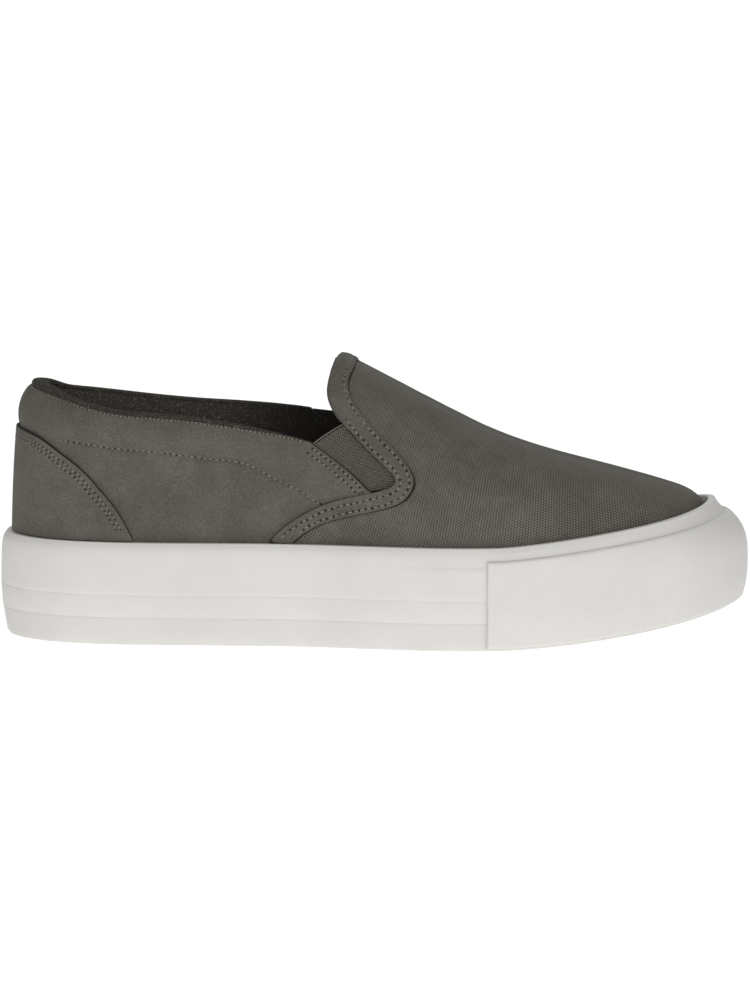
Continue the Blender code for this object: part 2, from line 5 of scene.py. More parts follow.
import bmesh
import bpy
import numpy as np
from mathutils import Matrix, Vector


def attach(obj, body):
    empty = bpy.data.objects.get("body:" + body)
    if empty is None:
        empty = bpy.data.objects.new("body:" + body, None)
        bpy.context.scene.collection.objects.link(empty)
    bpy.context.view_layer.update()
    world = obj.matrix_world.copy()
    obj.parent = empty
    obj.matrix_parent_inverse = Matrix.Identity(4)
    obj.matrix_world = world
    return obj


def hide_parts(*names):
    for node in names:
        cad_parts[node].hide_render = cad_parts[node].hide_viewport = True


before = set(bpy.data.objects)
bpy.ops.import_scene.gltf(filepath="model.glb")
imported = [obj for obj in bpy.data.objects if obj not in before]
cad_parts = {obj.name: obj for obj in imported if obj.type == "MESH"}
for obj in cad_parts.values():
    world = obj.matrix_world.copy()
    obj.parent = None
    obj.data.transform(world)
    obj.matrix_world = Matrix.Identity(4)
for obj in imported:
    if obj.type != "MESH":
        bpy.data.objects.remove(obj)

bl_info = {
    "name": "Slip-on sneaker",
    "version": (1, 0, 0),
    "blender": (4, 5, 0),
    "location": "View3D > Sidebar > Sneaker",
    "description": "Builds the leather, knit, elastic and rubber of a slip-on sneaker round its solids",
    "category": "Add Mesh",
}

MM = 0.001

# Sole
SOLE_LENGTH = 266.4 * MM
BALL_WIDTH = 97 * MM
HEEL_WIDTH = 70 * MM
SOLE_HEIGHT = 36.7 * MM
OUTSOLE_HEIGHT = 10 * MM
TOE_SPRING = 11 * MM
LIP_RISE = 10.7 * MM
CUP_DEPTH = 13 * MM
WALL_TAPER = 2.2 * MM
TOE_TAPER = 10.3 * MM
LIP_LAND = 2.6 * MM
LIP_ROUND = 0.9 * MM
RIB_HEIGHT = 18.3 * MM
RIB_WIDTH = 1.1 * MM
RIB_DEPTH = 0.16 * MM
EDGE_BEVEL = 0.8 * MM
JOINT_BEVEL = 0.12 * MM
JOINT_GAP = 0.03 * MM
GAP = 0.3 * MM
BUMPER_THICKNESS = 1.3 * MM
BUMPER_BAND = 4.2 * MM
BUMPER_FLOOR = 1 * MM
TREAD_DEPTH = 1.8 * MM
TREAD_GROOVE = 3 * MM
TREAD_PITCH = 11 * MM
TREAD_RIM = 7 * MM
TREAD_BEND = 5 * MM
INSOLE_THICKNESS = 4.5 * MM

# Upper
INSTEP_RISE = 71.3 * MM
BASE_DROP = 8 * MM
WALL = 2 * MM
HEEL_LEAN = 3.2 * MM
TOE_ROUND = 15 * MM
COLLAR_RISE = 60 * MM
COLLAR_PAD = 6 * MM
COLLAR_ROLL = 6 * MM
ROLL_HEIGHT = 11 * MM
PAD_HEIGHT = 34 * MM
PAD_PUFF = 1.1 * MM
PAD_GROOVE = 0.45 * MM
COUNTER_RISE = 38 * MM
PANEL_THICKNESS = 1.1 * MM
PANEL_CLEARANCE = 0.4 * MM
PANEL_ROUND = 0.5 * MM
SKIN = 1.1 * MM
GORE_THICKNESS = 1.2 * MM
GORE_SINK = 0.5 * MM
NOTCH_GAP = 0.5 * MM
TRIM_TUCK = 1.5 * MM
BINDING_HEIGHT = 1.5 * MM
BINDING_OVERHANG = 0.25 * MM
SIDE_ROLL = 0.9 * MM

# Stations, as shares of the length, and climbs, as shares of the way from the lip to the ridge
SPRING_START = 0.668
BUMPER_START = 0.6515
TOE_BLEND = 0.6
LEAN_REACH = 0.3
TREAD_ZONES = ((0.09, 0.31), (0.50, 0.90))
NOTCH_REAR = 0.163
NOTCH_FRONT = 0.200
THROAT_CORNER = 0.412
INNER_CORNER = 0.372
WEAVE_START = 0.34
SPRING_POWER = 1.7
LIP_POWER = 1.3
TOE_POWER = 3
PAD_FULL = 1.6
LIP_SHARE_LIMIT = 0.9
TINY = 1e-4
TIP_STEP = 0.02
FACE_STEP = 1e-3

# Tables: the first column is the place, the others are shares of the named sizes
PLAN = {
    "place": (0, 0.05, 0.15, 0.40, 0.62, 0.80, 0.90, 1),
    "centre": (0, 0, 0, -0.036, -0.021, 0.010, 0.031, 0.062),
    "heel": (0.886, 0.820, 0.700, 0.270, 0, 0, 0, 0),
    "ball": (0, 0, 0, 0.190, 0.510, 0.555, 0.602, 0.680),
}
SIDE = {
    "place": (0, 0.11, 0.25, 0.45, 0.70, 0.80, 0.90, 0.96, 1),
    "side": (0.95, 0.64, 0.27, 0, 0, 0.03, 0.20, 0.50, 1),
    "toe": (0.20, 0.10, 0.02, 0, 0.155, 0.38, 0.73, 0.92, 1),
}
RIDGE = {
    "place": (0, 0.20, 0.36, 0.472, 0.557, 0.65, 0.742, 0.834, 0.926, 1),
    "rise": (1.5, 1.46, 1.2, 1, 0.84, 0.666, 0.509, 0.378, 0.243, 0.13),
    "power": (4, 3.9, 3.1, 2.55, 2.35, 2.3, 2.3, 2.3, 2.3, 2.3),
    "shift": (0, 0.005, 0.02, 0.035, 0.043, 0.046, 0.042, 0.033, 0.018, 0),
}
COLLAR = {
    "place": (0, 0.047, 0.10, 0.153, 0.229, 0.338, 0.39, 0.43),
    "height": (1, 0.94, 0.893, 0.85, 0.782, 0.748, 0.72, 0.683),
    "raised": (0.017, 0.040, 0.037, 0.040, 0.086, 0.055, 0.042, 0.029),
    "inner": (0.017, 0.022, 0.032, 0.045, 0.078, 0.090, 0.108, 0.113),
    "pad": (1, 1, 0.85, 0.70, 0.55, 0.40, 0.20, 0),
    "roll": (0.60, 0.62, 0.50, 0.35, 0.25, 0.20, 0.10, 0),
}
QUARTER = {
    "place": (0.163, 0.214, 0.244, 0.269, 0.294),
    "front": (0.494, 0.468, 0.445, 0.420, 0.395),
}
TRIM = {
    "place": (0, 0.05, 0.10, 0.15, 0.20, 0.25, 0.30, 0.36, 0.42, 0.50, 0.60, 0.75, 1),
    "rear": (0.36, 0.40, 0.439, 0.484, 0.52, 0.525, 0.503, 0.475, 0.4545, 0.4425, 0.444, 0.4535, 0.468),
    "front": (0.392, 0.44, 0.498, 0.535, 0.549, 0.554, 0.549, 0.533, 0.507, 0.48, 0.469, 0.477, 0.492),
}
COUNTER = {
    "place": (0, 0.04, 0.0735, 0.112, 0.135, 0.1535, 0.171, 0.178),
    "height": (1, 0.942, 0.818, 0.634, 0.471, 0.324, 0.132, 0.04),
}
PAD_LINE = {
    "place": (0, 0.053, 0.103, 0.149, 0.192, 0.2575, 0.30, 0.334, 0.351, 0.372, 0.393, 0.424),
    "climb": (0.105, 0.101, 0.096, 0.0925, 0.096, 0.110, 0.125, 0.135, 0.131, 0.122, 0.116, 0.092),
}


def along(table, column, place):
    """Smooth curve through one column of a table: the natural cubic spline over its places."""
    places = np.array(table["place"], float)
    values = np.array(table[column], float)
    step = np.diff(places)
    slope = np.diff(values) / step
    system = np.eye(len(places))
    bend = np.zeros(len(places))
    for i in range(1, len(places) - 1):
        system[i, i - 1:i + 2] = step[i - 1], 2 * (step[i - 1] + step[i]), step[i]
        bend[i] = 6 * (slope[i] - slope[i - 1])
    curvature = np.linalg.solve(system, bend)
    place = np.clip(place, places[0], places[-1])
    i = np.clip(np.searchsorted(places, place) - 1, 0, len(step) - 1)
    after = place - places[i]
    before = step[i] - after
    return (
        (curvature[i] * before ** 3 + curvature[i + 1] * after ** 3) / (6 * step[i])
        + (values[i] / step[i] - curvature[i] * step[i] / 6) * before
        + (values[i + 1] / step[i] - curvature[i + 1] * step[i] / 6) * after
    )


def ease(low, high, value):
    """Smooth step 3t^2 - 2t^3 of a value between two limits."""
    share = np.clip((value - low) / (high - low), 0, 1)
    return share ** 2 * (3 - 2 * share)


def spring(station):
    """Share of the way from the last flat section to the tip of the toe."""
    return np.clip((station - SPRING_START) / (1 - SPRING_START), 0, 1)


def ground(station):
    """Height of the tread's face: flat, then the toe spring, a power of the share."""
    return TOE_SPRING * spring(station) ** SPRING_POWER


def lip(station):
    """Height of the top of the sole's side."""
    return SOLE_HEIGHT + LIP_RISE * spring(station) ** LIP_POWER


def toeness(station):
    """How far the section has turned from a side section (0) into the toe's (1)."""
    return np.clip((station - TOE_BLEND) / (1 - TOE_BLEND), 0, 1) ** TOE_POWER


def station_of(turn):
    """Share of the length at a turn round the shoe: (1 - cos turn) / 2."""
    return (1 - np.cos(turn)) / 2


def turn_of(station):
    """Turn round the shoe at a share of the length, from 0 at the heel to pi at the toe."""
    return np.arccos(1 - 2 * np.clip(station, 0, 1))


def plan(turn, shift):
    """Outline of the sole at a turn: the middle line, with the fullness times sin(turn) aside."""
    station = station_of(turn)
    full = HEEL_WIDTH * along(PLAN, "heel", station) + BALL_WIDTH * along(PLAN, "ball", station)
    x = HEEL_X + SOLE_LENGTH * station
    y = shift + BALL_WIDTH * along(PLAN, "centre", station) - full * np.sin(turn)
    return x, y


def inset_plan(turn, inset, shift):
    """The outline moved inward by an inset, square to its own direction of travel."""
    x, y = plan(turn, shift)
    x_on, y_on = plan(turn + TINY, shift)
    x_back, y_back = plan(turn - TINY, shift)
    run_x, run_y = x_on - x_back, y_on - y_back
    run = np.hypot(run_x, run_y)
    return x - run_y / run * inset, y + run_x / run * inset


def middle_of_plan():
    """Shift that puts the widest places the same distance from the middle, toe strip and all."""
    turn = np.linspace(-math.pi, math.pi, 721)
    strip = np.where(station_of(turn) > BUMPER_START, -GAP - BUMPER_THICKNESS, 0)
    y = inset_plan(turn, strip, 0)[1]
    return -(y.min() + y.max()) / 2


HEEL_X = -(SOLE_LENGTH + GAP + BUMPER_THICKNESS) / 2
PLAN_SHIFT = middle_of_plan()


def lip_inset(station):
    """Inset of the lip's inner edge, where the cup's hollow starts."""
    return WALL_TAPER + (TOE_TAPER - WALL_TAPER) * toeness(station) + LIP_LAND


def feather_inset(station):
    """Inset of the upper where it meets the lip."""
    return lip_inset(station) + GAP


def side_inset(station, share):
    """Inset of the sole's face at a share of its height, side and toe sections blended."""
    side = WALL_TAPER * along(SIDE, "side", share)
    toe = TOE_TAPER * along(SIDE, "toe", share)
    return side + (toe - side) * toeness(station)


def side_ring(turn, height, sink):
    """Points round the sole's face at a height over the tread, sunk in by a distance."""
    station = station_of(turn)
    share = height / (lip(station) - ground(station))
    x, y = inset_plan(turn, side_inset(station, share) + sink, PLAN_SHIFT)
    return np.stack([x, y, ground(station) + height + 0 * x], axis=-1)


def level_ring(turn, z, inset):
    """Points round the sole at a height, the outline moved in by an inset."""
    x, y = inset_plan(turn, inset, PLAN_SHIFT)
    return np.stack([x, y, z + 0 * x], axis=-1)


UPPER_HEEL = HEEL_X + feather_inset(0.0)
UPPER_LENGTH = SOLE_LENGTH - feather_inset(0.0) - feather_inset(1.0)


def ridge_rise(station):
    """Height of the ridge over the base line, rounded off at the toe as (1 - nose^3)^(1/3)."""
    nose = np.clip(1 - (1 - station) * UPPER_LENGTH / TOE_ROUND, 0, 1)
    return INSTEP_RISE * along(RIDGE, "rise", station) * (1 - nose ** 3) ** (1 / 3)


def lip_share(station):
    """Share of the ridge's rise at which the upper leaves the lip."""
    return np.minimum(BASE_DROP / np.maximum(ridge_rise(station), TINY * MM), LIP_SHARE_LIMIT)


def lip_angle(station):
    """Angle in the section's superellipse at which the upper leaves the lip."""
    return np.arcsin(lip_share(station) ** (along(RIDGE, "power", station) / 2))


def climb_at(station, rise):
    """The climb that reaches a height over the base line: upper_point's rise turned round."""
    share = np.clip(rise / ridge_rise(station), 0, 1)
    angle = np.arcsin(share ** (along(RIDGE, "power", station) / 2))
    start = lip_angle(station)
    return (angle - start) / (math.pi / 2 - start)


def upper_point(turn, climb):
    """Point of the upper's outer face, each section being a superellipse.

    |across|^p + |up|^p = 1, with across = 1 at the outline and up = 1 on the ridge.
    """
    station = station_of(turn)
    rise = ridge_rise(station)
    power = along(RIDGE, "power", station)
    start = lip_angle(station)
    start_up = rise * lip_share(station)
    wall_up = start_up + climb * (start_up + CUP_DEPTH - BASE_DROP - GAP)
    inside = np.arcsin(np.clip(wall_up / np.maximum(rise, TINY * MM), 0, 1) ** (power / 2))
    angle = np.where(climb < 0, inside, start + (math.pi / 2 - start) * climb)
    cosine = np.cos(angle)
    across = np.sign(cosine) * np.abs(cosine) ** (2 / power)
    up = np.where(climb < 0, wall_up, rise * np.abs(np.sin(angle)) ** (2 / power))
    edge_x, edge_y = inset_plan(turn, feather_inset(station), PLAN_SHIFT)
    ridge_x = UPPER_HEEL + UPPER_LENGTH * station
    centre = along(PLAN, "centre", station) + along(RIDGE, "shift", station)
    ridge_y = PLAN_SHIFT + BALL_WIDTH * centre
    lean = np.clip(1 - station / LEAN_REACH, 0, 1) ** 2 * HEEL_LEAN
    x = ridge_x + (edge_x - ridge_x) * across + lean * (np.maximum(up, 0) / COLLAR_RISE) ** 2
    y = ridge_y + (edge_y - ridge_y) * across
    z = lip(station) - BASE_DROP + up
    return np.stack([x, y, z], axis=-1)


def upper_normal(turn, climb):
    """Outward direction of the upper's face: the cross product of its two tangents."""
    turn = np.clip(turn, TIP_STEP - math.pi, math.pi - TIP_STEP)
    on = upper_point(turn + FACE_STEP, climb) - upper_point(turn - FACE_STEP, climb)
    up = upper_point(turn, climb + FACE_STEP) - upper_point(turn, climb - FACE_STEP)
    normal = np.cross(on, up)
    return normal / np.linalg.norm(normal, axis=-1, keepdims=True)


def upper_face(turn, climb, lift):
    """The upper's outer face moved outward, square to itself, by a lift."""
    return upper_point(turn, climb) + upper_normal(turn, climb) * np.asarray(lift)[..., None]


def rim_rise(station):
    """Height of the leather's rim over the base line on the outer side."""
    return COLLAR_RISE * (along(COLLAR, "height", station) + along(COLLAR, "raised", station))


def inner_rise(turn):
    """How much higher the collar stands on the inner side of the foot than on the outer."""
    station = station_of(turn)
    rise = along(COLLAR, "inner", station) - along(COLLAR, "raised", station)
    return COLLAR_RISE * rise * (turn < 0)


def counter_climb(station):
    """Climb of the heel counter's top edge."""
    return climb_at(station, BASE_DROP + COUNTER_RISE * along(COUNTER, "height", station))


def lip_climb(station):
    """Climb at which a panel clears the sole's lip."""
    return climb_at(station, BASE_DROP + PANEL_CLEARANCE)


def quarter_top():
    """Climb of the quarter's top corner, found by going to and fro between its two edges."""
    climb = QUARTER["place"][-1]
    for _ in range(20):
        station = along(QUARTER, "front", climb)
        climb = climb_at(station, rim_rise(station))
    return float(climb)


def throat_edge(climb):
    """Edge of the upper under the trim: the notch's front edge, then the tongue's free edge."""
    return along(TRIM, "rear", np.maximum(climb, NOTCH_FRONT)) + TRIM_TUCK / UPPER_LENGTH


def trim_middle(climb):
    """Middle line of the trim, where the vamp and the quarters meet under it."""
    return (along(TRIM, "rear", climb) + along(TRIM, "front", climb)) / 2


def lengths(points, axis):
    """Distance run along one axis of a grid of points, from its first row or column."""
    step = np.linalg.norm(np.diff(points, axis=axis), axis=-1)
    run = np.cumsum(step, axis=axis)
    start = np.zeros_like(np.take(run, [0], axis=axis))
    return np.concatenate([start, run], axis=axis)


def edge_distance(points, sides):
    """Shortest run along the grid from a point to the named borders: low, high, first, last."""
    down, on = lengths(points, 0), lengths(points, 1)
    runs = {"low": down, "high": down[-1:] - down, "first": on, "last": on[:, -1:] - on}
    return np.minimum.reduce([runs[side] for side in sides])


def banded(start, end, near, count):
    """Places from start to end: close to both ends at the given distances, evenly between."""
    start, end = np.asarray(start, float)[..., None], np.asarray(end, float)[..., None]
    near = np.asarray(near)
    share = np.linspace(0, 1, count + 2)[1:-1]
    low, high = start + near[-1], end - near[-1]
    return np.concatenate([start + near, low + (high - low) * share, end - near[::-1]], axis=-1)


def rounded(distance, radius):
    """Drop of a rounded edge: radius minus the quarter circle over the distance from it."""
    short = np.clip(1 - distance / radius, 0, 1)
    return radius * (1 - np.sqrt(1 - short ** 2))


def shell(outer, inner, place, skip=()):
    """Patches of a wall: both skins and the strips along its borders."""
    patches = [(outer, place), (inner, place)]
    borders = {"low": 0, "high": -1}
    for side, k in borders.items():
        if side not in skip:
            patches.append((np.stack([outer[k], inner[k]]), np.stack([place[k], place[k]])))
    for side, k in {"first": 0, "last": -1}.items():
        if side not in skip:
            strip = np.stack([outer[:, k], inner[:, k]])
            patches.append((strip, np.stack([place[:, k], place[:, k]])))
    return patches


def lens(ring, ring_place, count):
    """Grid across a ring of points that starts at the toe: each point joined to its mirror."""
    half = len(ring) // 2
    left, right = ring[:half + 1], ring[:half - 1:-1]
    share = np.linspace(0, 1, count)[:, None, None]
    points = left + (right - left) * share
    return points, np.broadcast_to(ring_place, points.shape)


def make_piece(name, patches, material, sharp=50):
    """One object from grids of points: their quads, doubles merged and faces turned outward.

    Each grid's corner (r, c) is joined to (r, c+1), (r+1, c+1) and (r+1, c).
    """
    points, places, quads, count = [], [], [], 0
    for grid, place in patches:
        grid = grid.reshape((-1, *grid.shape[-3:]))
        copies, rows, columns = grid.shape[:3]
        ids = count + np.arange(copies * rows * columns).reshape(copies, rows, columns)
        corners = [ids[:, :-1, :-1], ids[:, :-1, 1:], ids[:, 1:, 1:], ids[:, 1:, :-1]]
        quads.append(np.stack(corners, axis=-1).reshape(-1, 4))
        points.append(grid.reshape(-1, 3))
        places.append(np.broadcast_to(place, grid.shape).reshape(-1, 3))
        count += ids.size
    mesh = bpy.data.meshes.new(name)
    mesh.from_pydata(np.concatenate(points), [], np.concatenate(quads))
    spot = mesh.attributes.new("place", "FLOAT_VECTOR", "POINT")
    spot.data.foreach_set("vector", np.concatenate(places).astype(np.float32).ravel())
    build = bmesh.new()
    build.from_mesh(mesh)
    bmesh.ops.remove_doubles(build, verts=build.verts, dist=1e-6)
    bmesh.ops.recalc_face_normals(build, faces=build.faces)
    build.to_mesh(mesh)
    build.free()
    mesh.shade_smooth()
    mesh.set_sharp_from_angle(angle=math.radians(sharp))
    piece = bpy.data.objects.new(name, mesh)
    bpy.context.scene.collection.objects.link(piece)
    mesh.materials.append(material)
    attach(piece, "root")
    return piece


class Shader:
    """Node tree of one material, with short calls that add a node and give its output."""

    def __init__(self, name, roughness, **constants):
        self.material = bpy.data.materials.new(name)
        self.material.use_nodes = True
        self.tree = self.material.node_tree
        self.surface = self.tree.nodes["Principled BSDF"]
        self.surface.inputs["Roughness"].default_value = roughness
        for socket, value in constants.items():
            self.surface.inputs[socket.replace("_", " ")].default_value = value

    def add(self, kind, output, inputs, **settings):
        node = self.tree.nodes.new(kind)
        for key, value in settings.items():
            setattr(node, key, value)
        for key, value in inputs.items():
            if isinstance(value, bpy.types.NodeSocket):
                self.tree.links.new(value, node.inputs[key])
            else:
                node.inputs[key].default_value = value
        return node.outputs[output]

    def math(self, operation, first, second=0.0, third=0.0):
        inputs = {0: first, 1: second, 2: third}
        return self.add("ShaderNodeMath", 0, inputs, operation=operation)

    def noise(self, vector, scale, detail=3.0, roughness=0.5):
        inputs = {"Vector": vector, "Scale": scale, "Detail": detail, "Roughness": roughness}
        return self.add("ShaderNodeTexNoise", "Fac", inputs)

    def band(self, value, low, high, start=0.0, end=1.0):
        inputs = {"Value": value, 1: low, 2: high, 3: start, 4: end}
        return self.add("ShaderNodeMapRange", 0, inputs, interpolation_type="SMOOTHSTEP")

    def mix(self, factor, first, second, blend="MIX"):
        inputs = {0: factor, 6: first, 7: second}
        return self.add("ShaderNodeMix", 2, inputs, data_type="RGBA", blend_type=blend)

    def object_place(self):
        return self.add("ShaderNodeTexCoord", "Object", {})

    def place(self):
        """The piece's own two runs and its distance from the edge, in metres."""
        spot = self.add("ShaderNodeAttribute", "Vector", {}, attribute_name="place")
        parts = self.tree.nodes.new("ShaderNodeSeparateXYZ")
        self.tree.links.new(spot, parts.inputs[0])
        return parts.outputs[0], parts.outputs[1], parts.outputs[2]

    def wave(self, run, pitch):
        """0.5 + 0.5 cos(2 pi run / pitch): 1 on a thread, 0 in the gap beside it."""
        angle = self.math("MULTIPLY", run, 2 * math.pi / pitch)
        return self.math("MULTIPLY_ADD", self.math("COSINE", angle), 0.5, 0.5)

    def bump(self, height, distance, strength=1.0, normal=None):
        inputs = {"Height": height, "Distance": distance, "Strength": strength}
        if normal is not None:
            inputs["Normal"] = normal
        return self.add("ShaderNodeBump", "Normal", inputs)

    def finish(self, colour, normal, roughness=None):
        self.tree.links.new(colour, self.surface.inputs["Base Color"])
        self.tree.links.new(normal, self.surface.inputs["Normal"])
        if roughness is not None:
            self.tree.links.new(roughness, self.surface.inputs["Roughness"])
        return self.material


def shade(colour, factor):
    """A colour made lighter or darker by a factor, with full opacity."""
    return (*(min(part * factor, 1) for part in colour[:3]), 1)


def leather(name, colour, edge_colour, edge_width):
    """Nubuck: cloudy nap, fine speckled grain and a dark cut edge, partly the edge's own colour and partly painted
    shade of the step at the panel's border.
    """
    shader = Shader(name, 0.85, Sheen_Weight=0.05, Sheen_Roughness=0.5, Specular_IOR_Level=0.2)
    where = shader.object_place()
    cloud = shader.noise(where, 70, 4, 0.6)
    nap = shader.mix(shader.band(cloud, 0.32, 0.68), shade(colour, 0.87), shade(colour, 1.12))
    speck = shader.noise(where, 1400, 2, 0.7)
    grain = shader.mix(shader.band(speck, 0.35, 0.72), (0.82, 0.82, 0.82, 1), (1.16, 1.16, 1.15, 1))
    nap = shader.mix(1.0, nap, grain, "MULTIPLY")
    # Dark band along the border: partly the cut edge's own dark, partly painted shade of the step beside it
    edge = shader.band(shader.place()[2], edge_width / 3, edge_width)
    colour = shader.mix(edge, shade(edge_colour, 1), nap)
    pits = shader.noise(where, 900, 4, 0.65)
    normal = shader.bump(pits, 0.00012, 0.5, shader.bump(cloud, 0.0008, 0.35))
    return shader.finish(colour, normal, shader.band(cloud, 0.2, 0.8, 0.78, 0.92))


def weave(name, colour, gap_colour, pitch):
    """Basket weave pressed into nubuck: two sets of threads with a pinhole at each crossing gap."""
    shader = Shader(name, 0.85, Sheen_Weight=0.03, Sheen_Roughness=0.5, Specular_IOR_Level=0.2)
    where = shader.object_place()
    on, down, edge = shader.place()
    wobble = shader.noise(where, 160, 2)
    on = shader.math("MULTIPLY_ADD", wobble, pitch * 0.2, on)
    down = shader.math("MULTIPLY_ADD", wobble, pitch * 0.2, down)
    warp, weft = shader.wave(on, pitch), shader.wave(down, pitch * 1.08)
    gap_one = shader.math("SUBTRACT", 1.0, warp)
    gap_two = shader.math("SUBTRACT", 1.0, weft)
    hole = shader.math("MULTIPLY", gap_one, gap_two)
    line = shader.math("MAXIMUM", shader.math("POWER", gap_one, 2.0), shader.math("POWER", gap_two, 2.0))
    deep = shader.math("MULTIPLY_ADD", line, 0.34, shader.math("MULTIPLY", hole, 0.60))
    patch = shader.noise(where, 330, 2, 0.6)
    away = shader.band(shader.math("ABSOLUTE", down), 0.002, 0.014, 0.4, 1.0)
    deep = shader.math("MULTIPLY", deep, shader.math("MULTIPLY", away, shader.band(patch, 0.2, 0.7, 0.7, 1.0)))
    cloud = shader.noise(where, 60, 4, 0.6)
    nap = shader.mix(shader.band(cloud, 0.3, 0.7), shade(colour, 0.9), shade(colour, 1.12))
    # Painted shade: along the ridge the nap is mixed up to 22% towards the dark gap colour, where the top of the vamp
    # gets less light
    nap = shader.mix(shader.band(shader.math("ABSOLUTE", down), 0.001, 0.016, 0.22, 0.0), nap, gap_colour)
    colour = shader.mix(deep, nap, gap_colour)
    height = shader.math("SUBTRACT", 1.0, deep)
    fine = shader.bump(shader.noise(where, 1300, 3), 0.00008, 0.5)
    return shader.finish(colour, shader.bump(height, 0.0003, 0.8, fine))


def elastic(name, colour, gap_colour, pitch):
    """Dotted elastic: fine cords up the gore with a bead at each crossing, and a pale selvedge."""
    shader = Shader(name, 0.9, Specular_IOR_Level=0.2)
    where = shader.object_place()
    on, up, edge = shader.place()
    cord, bead = shader.wave(on, pitch), shader.wave(up, pitch * 1.15)
    height = shader.math("MULTIPLY", cord, bead)
    fuzz = shader.noise(where, 1800, 2, 0.7)
    level = shader.math("MULTIPLY_ADD", fuzz, 0.5, shader.math("MULTIPLY", height, 0.75))
    colour_out = shader.mix(shader.band(level, 0.15, 0.95), gap_colour, shade(colour, 1.25))
    selvedge = shader.band(edge, 0.0003, 0.0006, 0.8, 0.0)
    seam = shader.math("MULTIPLY", shader.band(edge, 0.0005, 0.0007), shader.band(edge, 0.0008, 0.0011, 1.0, 0.0))
    colour_out = shader.mix(selvedge, colour_out, shade(colour, 0.95))
    colour_out = shader.mix(seam, colour_out, shade(gap_colour, 0.6))
    return shader.finish(colour_out, shader.bump(level, 0.00018, 0.8))


def knit(name, colour, speck_colour, pitch):
    """Knit binding: rows of small slanted loops with light specks of fibre."""
    shader = Shader(name, 0.95, Sheen_Weight=0.03, Specular_IOR_Level=0.1)
    where = shader.object_place()
    on, around, _ = shader.place()
    slant = shader.math("MULTIPLY_ADD", shader.math("ABSOLUTE", around), 0.9, on)
    loop = shader.math("MULTIPLY", shader.wave(slant, pitch), shader.wave(around, pitch * 0.8))
    fibre = shader.noise(where, 1500, 2, 0.75)
    level = shader.math("MULTIPLY_ADD", fibre, 0.6, shader.math("MULTIPLY", loop, 0.6))
    base = shader.mix(shader.band(level, 0.2, 0.9), shade(colour, 0.35), shade(colour, 1.2))
    base = shader.mix(shader.band(fibre, 0.57, 0.66), base, speck_colour)
    return shader.finish(base, shader.bump(level, 0.0002, 0.9))


def textile(name, colour, pitch):
    """Brushed lining: a soft low weave with fuzz."""
    shader = Shader(name, 0.95, Sheen_Weight=0.15, Specular_IOR_Level=0.1)
    where = shader.object_place()
    on, up, _ = shader.place()
    rib = shader.math("MULTIPLY", shader.wave(on, pitch), shader.wave(up, pitch))
    fuzz = shader.noise(where, 1100, 4, 0.7)
    level = shader.math("MULTIPLY_ADD", fuzz, 0.8, shader.math("MULTIPLY", rib, 0.25))
    base = shader.mix(shader.band(level, 0.2, 0.85), shade(colour, 0.35), shade(colour, 1.35))
    base = shader.mix(shader.band(shader.noise(where, 1700, 1), 0.60, 0.70), base, shade(colour, 2.2))
    # Painted shade: from object x -62 mm to -22 mm and on towards the toe, the textile is mixed up to 0.8 of the way
    # to a near-black tone, standing in for the shade under the throat and tongue and inside the toe
    parts = shader.tree.nodes.new("ShaderNodeSeparateXYZ")
    shader.tree.links.new(where, parts.inputs[0])
    painted_shade_to_toe = shader.band(parts.outputs[0], -0.062, -0.022, 0.0, 0.8)
    base = shader.mix(painted_shade_to_toe, base, shade(colour, 0.12))
    return shader.finish(base, shader.bump(level, 0.00015, 0.6))


def rubber(name, colour, hatch):
    """Matt moulded rubber with a faint mould texture; hatch is the depth of a cross hatching."""
    shader = Shader(name, 0.5, Specular_IOR_Level=0.35)
    where = shader.object_place()
    on, up, edge = shader.place()
    cloud = shader.noise(where, 45, 4, 0.55)
    base = shader.mix(shader.band(cloud, 0.3, 0.7), shade(colour, 0.975), shade(colour, 1.02))
    scuff = shader.band(shader.noise(where, 260, 5, 0.7), 0.66, 0.82, 0.0, 0.35)
    base = shader.mix(scuff, base, shade(colour, 0.9))
    fine = shader.noise(where, 900, 3)
    normal = shader.bump(fine, 0.00005, 0.35)
    if hatch:
        one = shader.wave(shader.math("ADD", on, up), 0.0016)
        two = shader.wave(shader.math("SUBTRACT", on, up), 0.0016)
        lower = shader.band(up, 0.010, 0.024, 1.0, 0.12)
        cross = shader.math("MULTIPLY", shader.math("MAXIMUM", one, two), lower)
        normal = shader.bump(cross, hatch, 0.6, normal)
        base = shader.mix(shader.math("MULTIPLY", cross, 0.06), base, shade(colour, 0.6))
        # Painted shade: within 0.3 mm of the strip's border the rubber is mixed up to 15% towards a dark tone, where
        # the crevice against the sole wall shades it
        rim = shader.band(edge, 0.0, 0.0003, 0.15, 0.0)
        base = shader.mix(rim, base, shade(colour, 0.45))
    return shader.finish(base, normal, shader.band(cloud, 0.2, 0.8, 0.45, 0.58))


def thread(name, colour):
    """Twisted sewing thread: slanted ply lines."""
    shader = Shader(name, 0.8, Sheen_Weight=0.2, Specular_IOR_Level=0.25)
    where = shader.object_place()
    ply = shader.noise(where, 3000, 2, 0.6)
    base = shader.mix(ply, shade(colour, 0.75), shade(colour, 1.3))
    return shader.finish(base, shader.bump(ply, 0.0001, 0.7))


def looks():
    """The settings that the panel shows."""
    return bpy.context.scene.sneaker_looks


def fine_turns(count):
    """Turns once round the sole, starting and ending at the toe."""
    return np.linspace(-math.pi, math.pi, count)


def ring_grid(rings):
    """Grid through closed rings with its runs round the sole and up its side."""
    points = np.stack(rings)
    on, up = lengths(points, 1), lengths(points, 0)
    return points, np.stack([on, up, 0.02 + 0 * on], axis=-1)


